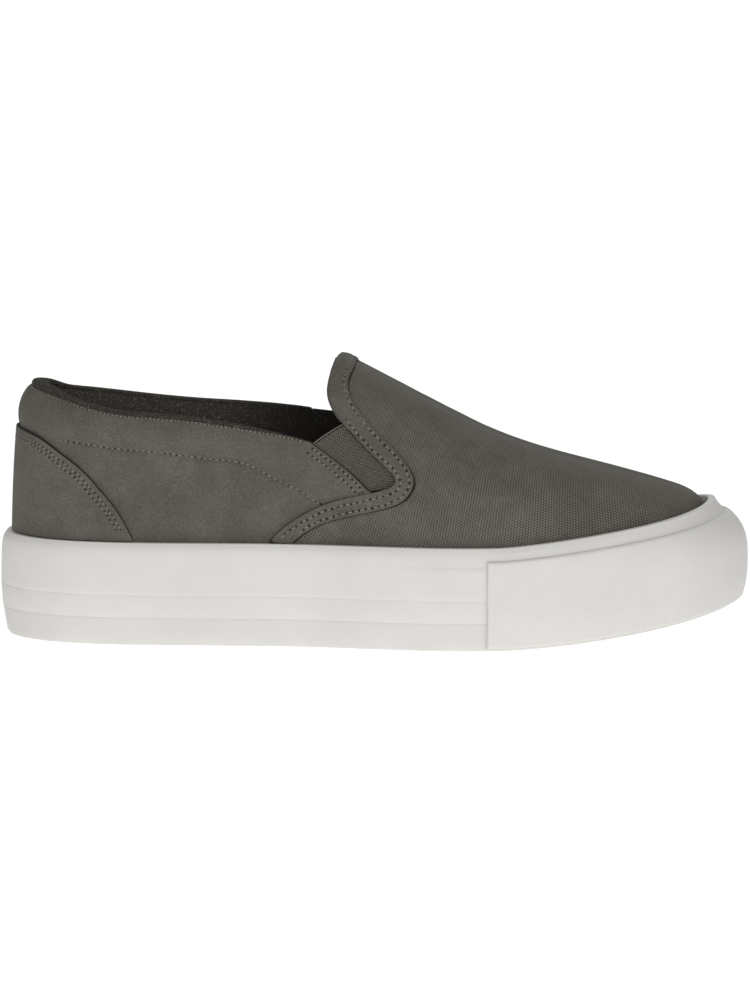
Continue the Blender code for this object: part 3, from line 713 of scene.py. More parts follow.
def add_sole_wall(material):
    """Cup sole: rings up the side with the rib's groove and rounded lip, then down into the cup."""
    turn = fine_turns(481)
    station = station_of(turn)
    full = lip(station) - ground(station)
    base = OUTSOLE_HEIGHT + JOINT_GAP
    rings = [side_ring(turn, base + JOINT_BEVEL * k, JOINT_BEVEL * (1 - math.sin(math.acos(1 - k))))
             for k in (0, 0.15, 0.4, 0.7, 1)]
    for k in (-1, -0.7, -0.4, -0.15, 0, 0.15, 0.4, 0.7, 1):
        depth = RIB_DEPTH * (1 + math.cos(math.pi * k)) / 2
        rings.append(side_ring(turn, RIB_HEIGHT + RIB_WIDTH * k / 2, depth))
    shares = (0.55, 0.62, 0.69, 0.77, 0.811, 0.816, 0.823, 0.84, 0.87, 0.90, 0.94, 0.97)
    for share in shares:
        seam = 0.22 * MM * ease(0.50, 0.62, station) * (station < BUMPER_START)
        step = seam * ease(0.811, 0.823, share)
        rings.append(side_ring(turn, share * full, step))
    inset = lip_inset(station)
    edge = side_inset(station, 1.0)
    for k in (0.35, 0.7, 0.9, 1):
        drop = LIP_ROUND * (1 - k)
        rise = LIP_ROUND * (1 - math.sqrt(1 - (1 - k) ** 2))
        rings.append(level_ring(turn, lip(station) - drop, side_inset(station, 1 - drop / full) + rise * 0.3))
    rings.append(level_ring(turn, lip(station) + 0 * edge, edge + LIP_ROUND * 0.6))
    rings.append(level_ring(turn, lip(station), inset - 0.35 * MM))
    rings.append(level_ring(turn, lip(station) - 0.4 * MM, inset))
    rings.append(level_ring(turn, lip(station) - CUP_DEPTH, inset))
    points, place = ring_grid(rings)
    patches = [(points, place), lens(points[0], place[0, 0], 2), lens(points[-1], place[0, 0], 2)]
    piece = make_piece("sole_wall", patches, material, 40)
    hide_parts("midsole")


def tread_grid():
    """Underside from side to side: chevron grooves sink a share of TREAD_DEPTH between the rims."""
    lines = [np.linspace(0, 1, 161)]
    half = TREAD_GROOVE / 2 / SOLE_LENGTH
    slope = 0.35 * MM / SOLE_LENGTH
    bars = []
    for first, last in TREAD_ZONES:
        count = int((last - first) * SOLE_LENGTH / TREAD_PITCH)
        bars.append(np.linspace(first, last, count + 1))
    bars = np.concatenate(bars)
    for offset in (-half - slope, -half, half, half + slope):
        lines.append(bars + offset)
    station = np.unique(np.concatenate(lines))
    turn = turn_of(station)
    left = side_ring(turn, 0 * turn, EDGE_BEVEL)
    right = side_ring(-turn, 0 * turn, EDGE_BEVEL)
    width = np.linalg.norm(left - right, axis=-1)
    near = np.array([0, 1.5, 3, 6.6, 7.0, 7.4]) * MM / np.maximum(width, 30 * MM)[:, None]
    share = banded(0 * width, 1 + 0 * width, [0], 30)
    middle = near[:, -1:] + (1 - 2 * near[:, -1:]) * np.linspace(0, 1, 33)[1:-1]
    share = np.concatenate([near, middle, 1 - near[:, ::-1]], axis=1).T
    points = left + (right - left) * share[..., None]
    bend = TREAD_BEND * (1 - np.abs(2 * share - 1)) * np.sin(turn) ** 2
    points[..., 0] += bend
    gap = np.abs(station[:, None] - bars).min(axis=1)
    groove = ease(half + slope, half, gap)
    rim = np.minimum(share, 1 - share) * width
    sink = groove * ease(TREAD_RIM - 0.4 * MM, TREAD_RIM, rim)
    rise = ground(station_of(turn) + bend / SOLE_LENGTH)
    points[..., 2] = rise + sink * TREAD_DEPTH
    return points, turn


def add_outsole(material):
    """Outsole: drafted edge round the chevron tread, with a flat top under the cup."""
    bottom, turn = tread_grid()
    turn = np.concatenate([-turn[::-1], turn[1:]])
    rings = [side_ring(turn, 0 * turn, EDGE_BEVEL)]
    for k in (0.12, 0.4, 1):
        rings.append(side_ring(turn, EDGE_BEVEL * k, EDGE_BEVEL * (1 - math.sin(math.acos(1 - k)))))
    rings.append(side_ring(turn, OUTSOLE_HEIGHT / 2, 0))
    for k in (1, 0.6, 0.25, 0):
        rings.append(side_ring(turn, OUTSOLE_HEIGHT - EDGE_BEVEL * k, JOINT_BEVEL * (1 - k) ** 2))
    points, place = ring_grid(rings)
    runs = np.stack([bottom[..., 0], bottom[..., 1], 0.02 + 0 * bottom[..., 0]], axis=-1)
    patches = [(points, place), (bottom, runs), lens(points[-1], place[0, 0], 2)]
    piece = make_piece("tread_sole", patches, material, 35)
    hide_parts("outsole")


def add_toe_strip(material):
    """Rubber strip round the toe: the sole's own side moved out, with its edges rounded."""
    first = float(turn_of(BUMPER_START))
    reach = np.array([0, 0.05, 0.15, 0.35, 0.65, 1.0, 1.4]) * MM
    turn = banded(first, 2 * math.pi - first, reach / (0.35 * SOLE_LENGTH), 300)
    station = station_of(turn)
    full = lip(station) - ground(station) - BUMPER_BAND
    height = banded(BUMPER_FLOOR + 0 * full, full, reach, 36).T
    flat = side_ring(turn, height, 0 * height)
    distance = edge_distance(flat, ("low", "high", "first", "last"))
    outer = side_ring(turn, height, rounded(distance, 1.1 * MM) - GAP - BUMPER_THICKNESS)
    inner = side_ring(turn, height, -0.08 * MM + 0 * height)
    place = np.stack([lengths(flat, 1), lengths(flat, 0), distance], axis=-1)
    piece = make_piece("toe_strip", shell(outer, inner, place), material)
    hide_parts("toe_bumper")


def add_insole(material):
    """Footbed cover: a dished top, lower in the middle than at its rim, on a flat underside."""
    turn = fine_turns(361)
    station = station_of(turn)
    inset = feather_inset(station) + WALL + GAP
    floor = lip(station) - CUP_DEPTH + GAP
    top = floor + INSOLE_THICKNESS
    rings = [level_ring(turn, floor, inset), level_ring(turn, top - EDGE_BEVEL, inset)]
    rings += [level_ring(turn, top - 0.25 * EDGE_BEVEL, inset + 0.25 * EDGE_BEVEL)]
    rings += [level_ring(turn, top, inset + EDGE_BEVEL)]
    points, place = ring_grid(rings)
    cover, _ = lens(points[-1], place[0, 0], 25)
    share = np.linspace(-1, 1, 25)[:, None]
    across = np.linalg.norm(cover[0] - cover[-1], axis=-1) / BALL_WIDTH
    cover[..., 2] -= 1.6 * MM * (1 - share ** 2) * across
    runs = np.stack([cover[..., 0], cover[..., 1], 0.02 + 0 * cover[..., 0]], axis=-1)
    patches = [(points, place), (cover, runs), lens(points[0], place[0, 0], 2)]
    piece = make_piece("footbed_cover", patches, material)
    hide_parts("insole")


def vamp_creases(turn, climb):
    """Soft creases: troughs across the ball under the ridge, each a product of two bells."""
    station = station_of(turn)
    sink = 0 * station
    for middle, lean, high, wide, deep in (
        (0.575, 0.030, 0.80, 0.010, 0.35), (0.608, 0.045, 0.72, 0.012, 0.30),
        (0.648, 0.055, 0.66, 0.011, 0.26), (0.700, 0.030, 0.60, 0.016, 0.20),
    ):
        line = middle + lean * (1 - climb)
        bell = np.exp(-((station - line) / wide) ** 2) * np.exp(-((climb - high) / 0.30) ** 2)
        sink = sink + deep * MM * bell * (1 + 0.25 * np.sign(turn))
    return sink * (1 - ease(0.70, 0.95, climb))


def vamp_grid(columns, low_rows):
    """Turns and climbs from under the trim to the toe, over the ridge from side to side."""
    climb = np.concatenate([low_rows, np.linspace(0, 1, 84)])
    edge = np.where(climb < NOTCH_FRONT, trim_middle(np.maximum(climb, 0)), throat_edge(climb))
    share = np.linspace(0, 1, columns) ** 0.92
    turn = turn_of(edge)[:, None] + (math.pi - turn_of(edge)[:, None]) * share
    climb = climb[:, None] + 0 * turn
    return np.concatenate([turn, -turn[-2::-1]]), np.concatenate([climb, climb[-2::-1]])


def read_off(table, rows, columns):
    """Values of a table between its corners: the four nearest, weighted by closeness."""
    row = np.clip(rows, 0, len(table) - 1.001).astype(int)
    column = np.clip(columns, 0, table.shape[1] - 1.001).astype(int)
    down, on = np.clip(rows, 0, len(table) - 1) - row, np.clip(columns, 0, table.shape[1] - 1) - column
    upper = table[row, column] * (1 - on) + table[row, column + 1] * on
    lower = table[row + 1, column] * (1 - on) + table[row + 1, column + 1] * on
    return upper * (1 - down) + lower * down


def vamp_place(turn, climb):
    """Runs of the weave: on from one section behind the throat, and down from the ridge.

    Both are worked out on an even grid of sections and climbs, so the trim's curve leaves them be.
    The run down is a mean of the run over the surface and of the drop, so that the rows open
    out over the instep as stretched leather does.
    The cross threads lean back with the root of the distance squared plus a constant, so that
    they pass square over the ridge.
    """
    count = 200
    section = turn_of(np.linspace(WEAVE_START, 1, count))
    height = np.linspace(0, 1, count)[:, None]
    points = upper_point(section + 0 * height, height + 0 * section)
    run = lengths(points, 0)
    below = run[-1] - run
    drop = points[-1, :, 2] - points[..., 2]
    soft = 14 * MM
    lean = 0.36 * (np.sqrt(below ** 2 + soft ** 2) - soft)
    where = ((count - 1) * climb, (count - 1) * (station_of(turn) - WEAVE_START) / (1 - WEAVE_START))
    on = read_off(lengths(points, 1) + lean, *where)
    return on, read_off(0.3 * below + 0.7 * drop, *where) * np.sign(turn)


def add_vamp(material):
    """Vamp and tongue in one skin with a pressed weave, tucked under the trim and into the cup."""
    turn, climb = vamp_grid(190, np.array([-0.5, -0.25, -0.08]))
    lift = -vamp_creases(turn, climb)
    outer = upper_face(turn, climb, lift)
    inner = upper_face(turn, climb, lift - SKIN + 0.1 * MM)
    on, down = vamp_place(turn, climb)
    place = np.stack([on, down, edge_distance(outer, ("first",))], axis=-1)
    piece = make_piece("vamp", shell(outer, inner, place, ("last",)), material)
    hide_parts("upper")


def add_vamp_lining(material):
    """Lining under the vamp, from the throat to the toe."""
    turn, climb = vamp_grid(110, np.array([-0.9, -0.5, -0.2]))
    outer = upper_face(turn, climb, 0 * turn - SKIN)
    inner = upper_face(turn, climb, 0 * turn - WALL)
    place = np.stack([lengths(outer, 1), lengths(outer, 0), 0.02 + 0 * turn], axis=-1)
    piece = make_piece("vamp_lining", shell(outer, inner, place, ("last",)), material)
    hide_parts("upper")


def rear_lifts(turn, climb):
    """Lifts of the quarters' outer and inner faces: the collar's roll, its padding and its puff.

    The puff is the root of a sine from the sewn line up to the rim, and the sewn line is a bell.
    """
    station = station_of(turn)
    z = upper_point(turn, climb)[..., 2]
    below = lip(station) - BASE_DROP + rim_rise(station) + inner_rise(turn) - z
    near = np.clip(1 - below / ROLL_HEIGHT, 0, 1)
    roll = COLLAR_ROLL * along(COLLAR, "roll", station) * (1 - np.sqrt(1 - near ** 2))
    swell = ease(0, 1, 1 - below / PAD_HEIGHT)
    pad = COLLAR_PAD * along(COLLAR, "pad", station) * np.minimum(swell * PAD_FULL, 1)
    line = np.maximum(along(PAD_LINE, "climb", station), counter_climb(station))
    line_z = upper_point(turn, line)[..., 2]
    share = np.clip((z - line_z) / np.maximum(z - line_z + below, TINY * MM), 0, 1)
    fade = ease(0.44, 0.36, station)
    puff = PAD_PUFF * np.sin(math.pi * share ** 0.8) ** 0.8 * (0.4 + 0.6 * fade)
    covered = ease(0.0, 0.010, station - 0.062)
    groove = PAD_GROOVE * np.exp(-((z - line_z) / (0.9 * MM)) ** 2) * covered
    return puff - roll - groove, -WALL - pad


def quarter_front(climb):
    """Front edge of the quarter: under the trim's middle, then back along the notch."""
    blend = ease(0.145, 0.172, climb)
    low = trim_middle(np.maximum(climb, 0))
    return low + (along(QUARTER, "front", climb) - low) * blend


def quarter_grid(columns, low_rows, front):
    """Turns and climbs of both quarters, round the heel from front edge to front edge."""
    top = quarter_top()
    share = 1 - (1 - np.linspace(0, 1, 72)) ** 1.25
    climb = np.concatenate([low_rows, top * share])[:, None]
    edge = turn_of(front(climb))
    near = np.array([0, 0.12, 0.3, 0.5, 0.8, 1.2]) * MM / (0.5 * SOLE_LENGTH)
    spread = np.concatenate([-(1 - near / 1.5), np.linspace(-0.985, 0.985, columns), (1 - near / 1.5)[::-1]])
    turn = edge * spread
    rim_turn = np.broadcast_to(turn[-1:], turn.shape)
    station = station_of(rim_turn)
    rim = climb_at(station, rim_rise(station))
    more = climb_at(station, rim_rise(station) + inner_rise(rim_turn)) - rim
    share = np.maximum(climb, 0) / top
    return turn, np.where(climb > 0, share * rim + more * share ** 4, climb + 0 * rim)


def quarter_dents(turn, climb):
    """Soft hollows: one along the quarter over the lip and one behind the notch."""
    station = station_of(turn)
    one = np.exp(-((station - 0.30) / 0.07) ** 2 - ((climb - 0.055) / 0.025) ** 2)
    two = np.exp(-((station - 0.43 + 0.4 * (climb - 0.15)) / 0.018) ** 2 - ((climb - 0.15) / 0.05) ** 2)
    return (0.45 * one + 0.35 * two) * MM * ease(0.20, 0.24, station)


def quarter_lift(turn, climb, distance):
    """Lift of the quarter's face: padding less hollows, and a bell-shaped hem along its edge."""
    hem = np.exp(-((distance - 1.6 * MM) / (1.3 * MM)) ** 2) * 0.30 * MM * ease(0.13, 0.18, climb)
    return rear_lifts(turn, climb)[0] - quarter_dents(turn, climb) + hem


def add_quarters(material):
    """Quarters in one skin round the heel, with a rolled front edge beside each gore."""
    turn, climb = quarter_grid(300, np.array([-0.5, -0.25, -0.08]), quarter_front)
    flat = upper_face(turn, climb, 0 * turn)
    distance = edge_distance(flat, ("first", "last"))
    lift = quarter_lift(turn, climb, distance)
    outer = upper_face(turn, climb, lift - rounded(distance, 0.5 * MM))
    inner = upper_face(turn, climb, lift - SKIN + 0.05 * MM)
    place = np.stack([lengths(flat, 1), lengths(flat, 0), distance], axis=-1)
    piece = make_piece("quarters", shell(outer, inner, place), material)
    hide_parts("upper")


def add_collar_pad(material):
    """Padded lining of the quarters: foam between the leather and a brushed textile face."""
    turn, climb = quarter_grid(220, np.array([-0.9, -0.5, -0.2]), quarter_front)
    lift, pad = rear_lifts(turn, climb)
    outer = upper_face(turn, climb, lift - SKIN)
    inner = upper_face(turn, climb, pad)
    inner[-1, :, 2] = outer[-1, :, 2]
    place = np.stack([lengths(outer, 1), lengths(outer, 0), 0.02 + 0 * turn], axis=-1)
    piece = make_piece("collar_lining", shell(outer, inner, place), material)
    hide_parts("upper")


def trim_top(climb):
    """Lift of the trim's face: it is pressed thinner over the tongue."""
    return GAP + PANEL_THICKNESS - 0.85 * MM * ease(0.50, 0.85, climb)


def add_trim(material):
    """Strip over the vamp's edge: a closed section carried up one side and down the other.

    Over the gore it is a flat band with rounded edges. From the throat's corner up it wraps the
    tongue's free edge and runs a little way back along the inner face.
    """
    share = np.linspace(0, 1, 200)[:, None]
    rear, front = along(TRIM, "rear", share), along(TRIM, "front", share)
    edge = np.array([0, 0.04, 0.12, 0.25, 0.5])
    radius = 0.55 * MM
    top = trim_top(share)
    wrap = ease(0.385, 0.43, share)
    reach = radius / UPPER_LENGTH
    width = front - rear
    near_front = front - np.concatenate([edge, [1, 2]])[None] * reach
    body = front - 2 * reach - (width - 4 * reach) * np.linspace(0, 1, 13)[None, 1:-1]
    near_rear = rear + np.concatenate([[2, 1], edge[::-1]])[None] * reach
    station = np.concatenate([near_front, body, near_rear], axis=1)
    distance = np.minimum(station - rear, front - station) * UPPER_LENGTH
    plain = rounded(distance, radius)
    soft = rounded((front - station) * UPPER_LENGTH, radius)
    crown = 0.15 * MM * np.sin(math.pi * np.clip((station - rear) / width, 0, 1)) * wrap
    wave = np.sin(56 * math.pi * share + 3 * np.sin(17 * share))
    from_front = (front - station) * UPPER_LENGTH
    pucker = 0.13 * MM * wave * np.exp(-((from_front - 0.9 * MM) / (0.8 * MM)) ** 2)
    turned = ease(0.72, 0.95, share) * 0.8
    down = rounded((station - rear) * UPPER_LENGTH, 3.2 * MM) * turned
    lift = top + crown + pucker - (plain + (soft - plain) * wrap) - down
    angle = np.linspace(0, math.pi, 9)[None]
    crest = top - 3.2 * MM * turned
    thick = (crest + WALL + 0.9 * MM) / 2
    fold_station = rear - np.sin(angle) * 0.35 * MM / UPPER_LENGTH * wrap
    fold_wrap = crest - thick + thick * np.cos(angle)
    fold_plain = top - radius + 0 * angle - (top - radius - GAP) * np.linspace(0, 1, 9)[None]
    fold_lift = fold_plain + (fold_wrap - fold_plain) * wrap
    back = np.linspace(0, 1, 6)[None, 1:]
    inner_station = rear + back * 5 * MM / UPPER_LENGTH * wrap
    inner_lift = GAP + (-WALL - 0.9 * MM - GAP) * wrap + 0 * back
    return_station = rear + (1 - back) * 5 * MM / UPPER_LENGTH * wrap + back * 1.2 * MM / UPPER_LENGTH * wrap
    return_lift = GAP + (-WALL - 0.1 * MM - GAP) * wrap + 0 * back
    under = np.linspace(0, 1, 8)[None]
    under_station = rear + (front - rear) * under
    under_station = np.maximum(under_station, rear + 1.2 * MM / UPPER_LENGTH * wrap)
    under_lift = GAP + 0 * under_station
    # Painted shade: the underside's last point flares 0.45 mm past the front edge, low on the vamp, and its zero
    # border distance paints it the dark edge colour; it stands for the trim's dark cut edge and for the shadow line
    # along that edge
    under_station[:, -1:] += 0.45 * MM / UPPER_LENGTH
    under_lift[:, -1:] = 0.06 * MM
    stations = np.concatenate([station, fold_station, inner_station, return_station, under_station], axis=1)
    lifts = np.concatenate([lift, fold_lift, inner_lift, return_lift, under_lift], axis=1)
    stations = np.concatenate([stations, stations[:, :1]], axis=1)
    lifts = np.concatenate([lifts, lifts[:, :1]], axis=1)
    low = lip_climb(stations)
    climb = low + (1 - low) * share
    tuck = 0.006 * np.exp(-((share - 0.75) / 0.22) ** 2) * wrap
    turn = np.concatenate([turn_of(stations), -turn_of(stations + tuck)[-2::-1]])
    climb = np.concatenate([climb, climb[-2::-1]])
    lifts = np.concatenate([lifts, lifts[-2::-1]])
    points = upper_face(turn, climb, lifts)
    border = np.minimum(stations - rear + wrap, front - stations) * UPPER_LENGTH
    border = np.concatenate([border, border[-2::-1]])
    place = np.stack([lengths(points, 0), lengths(points, 1), np.maximum(border, 0)], axis=-1)
    ends = [(np.stack([row, row.mean(axis=0) + 0 * row]), place[:2] * 0) for row in (points[0], points[-1])]
    ends = [(grid, np.broadcast_to(place[0, 0], grid.shape)) for grid, _ in ends]
    piece = make_piece("throat_trim", [(points, place), *ends], material)
    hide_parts("vamp_trim")


def add_counter(material):
    """Heel counter: a panel over the quarters with a rounded cut edge, darkened partly as the edge's own colour and
    partly as painted shade.
    """
    last = float(turn_of(COUNTER["place"][-1]))
    reach = np.array([0, 0.1, 0.22, 0.36, 0.55, 0.9, 1.4]) * MM
    turn = banded(-last, last, reach / (0.30 * SOLE_LENGTH), 200)
    station = station_of(turn)
    low, top = lip_climb(station), counter_climb(station)
    near = reach / (2.2 * COUNTER_RISE) * (top - low)[:, None] / (top - low).max()
    middle = (low + near[:, -1])[:, None] + (top - low - 2 * near[:, -1])[:, None] * np.linspace(0, 1, 42)[1:-1]
    climb = np.concatenate([low[:, None] + near, middle, top[:, None] - near[:, ::-1]], axis=1).T
    turn = turn + 0 * climb
    flat = upper_face(turn, climb, 0 * turn)
    distance = edge_distance(flat, ("high",))
    outer = upper_face(turn, climb, GAP + PANEL_THICKNESS - rounded(distance, PANEL_ROUND))
    inner = upper_face(turn, climb, GAP + 0 * turn)
    place = np.stack([lengths(flat, 1), lengths(flat, 0), distance], axis=-1)
    piece = make_piece("counter_panel", shell(outer, inner, place), material)
    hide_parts("heel_counter")


def gore_grid(rows, columns, side):
    """Stations and climbs of the gore between the quarter's edge and the trim's."""
    gap = NOTCH_GAP / UPPER_LENGTH
    low = NOTCH_GAP / INSTEP_RISE
    share = banded(0.0, 1.0, np.array([0, 0.006, 0.014, 0.024, 0.034, 0.048, 0.06]), rows)[:, None]
    rear_climb = NOTCH_REAR + low + (quarter_top() - NOTCH_REAR - low) * share
    throat = THROAT_CORNER if side > 0 else INNER_CORNER
    front_climb = NOTCH_FRONT + low + (throat - NOTCH_FRONT - low) * share
    rear = along(QUARTER, "front", rear_climb) + gap
    front = throat_edge(front_climb) - gap
    corner = along(QUARTER, "front", quarter_top())
    inner = inner_rise(side * turn_of(corner))
    more = climb_at(corner, rim_rise(corner) + inner) - climb_at(corner, rim_rise(corner))
    rear_climb = rear_climb + more * share ** 4
    across = np.linspace(0, 1, columns)
    return rear + (front - rear) * across, rear_climb + (front_climb - rear_climb) * across


def add_gore(name, node, side, material, lining):
    """Elastic insert: stretched a little hollow between its edges, with a thicker top selvedge."""
    station, climb = gore_grid(60, 70, side)
    turn = side * turn_of(station)
    flat = upper_face(turn, climb, 0 * turn)
    up = lengths(flat, 0)
    top = up[-1:] - up
    across = np.linspace(0, 1, turn.shape[1])
    hollow = 0.5 * MM * np.sin(math.pi * across) * np.clip(top / (8 * MM), 0, 1)
    roll = 0.25 * MM * np.exp(-((top - 0.45 * MM) / (0.35 * MM)) ** 2)
    lift = -GORE_SINK - hollow + roll - rounded(top, 0.3 * MM)
    outer = upper_face(turn, climb, lift)
    core = upper_face(turn, climb, -GORE_SINK - hollow - GORE_THICKNESS / 2)
    inner = upper_face(turn, climb, -GORE_SINK - hollow - GORE_THICKNESS)
    place = np.stack([lengths(flat, 1), up, top], axis=-1)
    piece = make_piece(name, shell(outer, core, place), material)
    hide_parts(node)
    under = upper_face(turn, climb, -GORE_SINK - hollow - GORE_THICKNESS / 2 - JOINT_GAP)
    piece = make_piece(f"{name}_lining", shell(under, inner, place), lining)
    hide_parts(node)


def add_binding(material):
    """Knit binding: a rounded section carried round the collar's rim, a little over both faces."""
    turn, climb = quarter_grid(300, np.array([-0.2]), quarter_front)
    lift, pad = rear_lifts(turn, climb)
    outer = upper_face(turn, climb, lift)[-1]
    inner = upper_face(turn, climb, pad)[-1]
    inner[:, 2] = outer[:, 2]
    middle = (outer + inner) / 2
    half = np.linalg.norm(outer - inner, axis=-1, keepdims=True) / 2
    aside = (outer - inner) / (2 * half)
    station = station_of(turn[-1])[:, None]
    taper = ease(0.43, 0.30, station)
    over = (BINDING_OVERHANG + 0.5 * MM * ease(0.07, 0.02, station)) * taper - 0.35 * MM * (1 - taper)
    heel = ease(0.07, 0.02, station)
    tall = (SIDE_ROLL + (BINDING_HEIGHT - SIDE_ROLL) * heel) * taper - 0.3 * MM * (1 - taper)
    up = np.array([0, 0, 1])
    angle = np.linspace(-0.3, math.pi + 0.3, 23)
    sections = []
    for a in angle:
        cosine, sine = math.cos(a), math.sin(a)
        wide = math.copysign(abs(cosine) ** 0.6, cosine)
        high = math.copysign(abs(sine) ** 0.8, sine)
        sections.append(middle + aside * (half + over) * wide + up * (GAP * taper + tall * high))
    sections.append(sections[0])
    points = np.stack(sections)
    around = lengths(points, 0)
    place = np.stack([lengths(points, 1), around - around[8:9], 0.02 + 0 * around], axis=-1)
    ends = []
    for k in (0, -1):
        column = points[:, k]
        grid = np.stack([column, column.mean(axis=0) + 0 * column])
        ends.append((grid, np.broadcast_to(place[0, k], grid.shape)))
    piece = make_piece("knit_binding", [(points, place), *ends], material)
    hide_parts("collar_binding")


UNEVEN = np.random.default_rng(7)


def beside(station, climb, distance):
    """A line on the upper moved square to itself by a distance, to its right as it climbs."""
    point = upper_point(turn_of(station), climb)
    above = upper_point(turn_of(station), climb + FACE_STEP)
    high = np.linalg.norm(above - point, axis=-1) / FACE_STEP
    on, up = np.gradient(station) * UPPER_LENGTH, np.gradient(climb) * high
    run = np.hypot(on, up)
    return station + distance * up / run / UPPER_LENGTH, climb - distance * on / run / high


def row_of_stitches(station, climb, side, lift, pitch):
    """Middles, directions and normals of stitches one pitch apart along a line on the upper."""
    turn = side * turn_of(station)
    line = upper_face(turn, climb, lift)
    normal = upper_normal(turn, climb)
    run = lengths(line[None], 1)[0]
    places = np.arange(pitch / 2, run[-1], pitch)
    places = places + UNEVEN.uniform(-0.09, 0.09, len(places)) * pitch
    blend = [np.stack([np.interp(places + s, run, line[:, i]) for i in range(3)], axis=-1)
             for s in (-pitch * 0.3, 0, pitch * 0.3)]
    on = blend[2] - blend[0]
    on /= np.linalg.norm(on, axis=-1, keepdims=True)
    up = np.stack([np.interp(places, run, normal[:, i]) for i in range(3)], axis=-1)
    return blend[1], on, up / np.linalg.norm(up, axis=-1, keepdims=True)


def beads(middle, on, up, length, radius, height):
    """Low ellipsoids, one a stitch: length along the line, radius across it, height over the face."""
    side = np.cross(up, on)
    uneven = UNEVEN.uniform(0.75, 1.2, (len(middle), 1, 1))
    middle = middle + side * UNEVEN.uniform(-0.4, 0.4, (len(middle), 1)) * radius
    polar = np.linspace(0, math.pi, 6)[:, None]
    angle = np.linspace(0, 2 * math.pi, 7)[None]
    shape = np.stack([-np.cos(polar) + 0 * angle, np.sin(polar) * np.cos(angle), np.sin(polar) * np.sin(angle)])
    size = np.array([length / 2, radius, height])
    axes = np.stack([on, side, up], axis=1) * size[None, :, None] * uneven
    return middle[:, None, None] + np.einsum("krc,nkd->nrcd", shape, axes)


def stitch_lines(side):
    """Every sewn line: stations, climbs, lift of the face it lies on, and its pitch."""
    top = GAP + PANEL_THICKNESS
    pitch = looks().stitch_pitch
    climb = np.linspace(0.012, 0.985, 400)
    front = beside(along(TRIM, "front", climb), climb, -1.6 * MM)
    rear = beside(along(TRIM, "rear", climb), climb, 1.9 * MM)
    low = climb < 0.415
    lines = [(*front, trim_top(climb), pitch), (rear[0][low], rear[1][low], top, pitch)]
    climb = np.linspace(0.155, quarter_top() * 0.99, 200)
    for back in (1.5 * MM, 4.0 * MM):
        row = np.array(beside(along(QUARTER, "front", climb), climb, -back))
        row = row[:, along(TRIM, "rear", row[1]) > row[0] + 0.002]
        lift = quarter_lift(side * turn_of(row[0]), row[1], back)
        lines.append((*row, lift, 2.0 * MM))
    station = np.linspace(0.0001, 0.176, 400)
    for back in (2.1, 3.6):
        row = np.array(beside(station, counter_climb(station), back * MM))
        row = row[:, (row[1] > lip_climb(station) + 0.004) & (row[0] > 0.0004)]
        lines.append((*row, top, 2.0 * MM))
    station = np.linspace(0.066, 0.44, 300)
    lines.append((station, along(PAD_LINE, "climb", station), 0.05 * MM - PAD_GROOVE, 2.2 * MM))
    return lines


def rim_line(side):
    """Sewn line just under the binding, a set distance below the rim."""
    station = np.linspace(0.004, 0.405, 400)
    turn = side * turn_of(station)
    rise = rim_rise(station) + inner_rise(turn) - 0.5 * MM
    climb = climb_at(station, rise)
    return station, climb, rear_lifts(turn, climb)[0] + 0.05 * MM, 1.5 * MM


def add_stitches(thread_material, hole_shade_material):
    """Thread of all sewn lines on both sides of the shoe, and dark beads painted as the shade in their needle holes.
    """
    threads, hole_shades = [], []
    for side in (1, -1):
        for station, climb, lift, pitch in stitch_lines(side) + [rim_line(side)]:
            middle, on, up = row_of_stitches(station, climb, side, lift, pitch)
            threads.append(beads(middle + up * 0.02 * MM, on, up, pitch * 0.58, 0.25 * MM, 0.22 * MM))
            # Painted shade: a low dark bead in each gap between stitches stands for the shade inside the needle hole
            gap = middle + on * pitch / 2
            wide = 0.19 * pitch
            hole_shades.append(beads(gap + up * 0.03 * MM, on, up, 2.2 * wide, wide, 0.12 * MM))
    for name, grids, material in (("stitch_thread", threads, thread_material), ("stitch_hole_shade", hole_shades, hole_shade_material)):
        grid = np.concatenate(grids)
        piece = make_piece(name, [(grid, np.array([0, 0, 0.02]))], material)


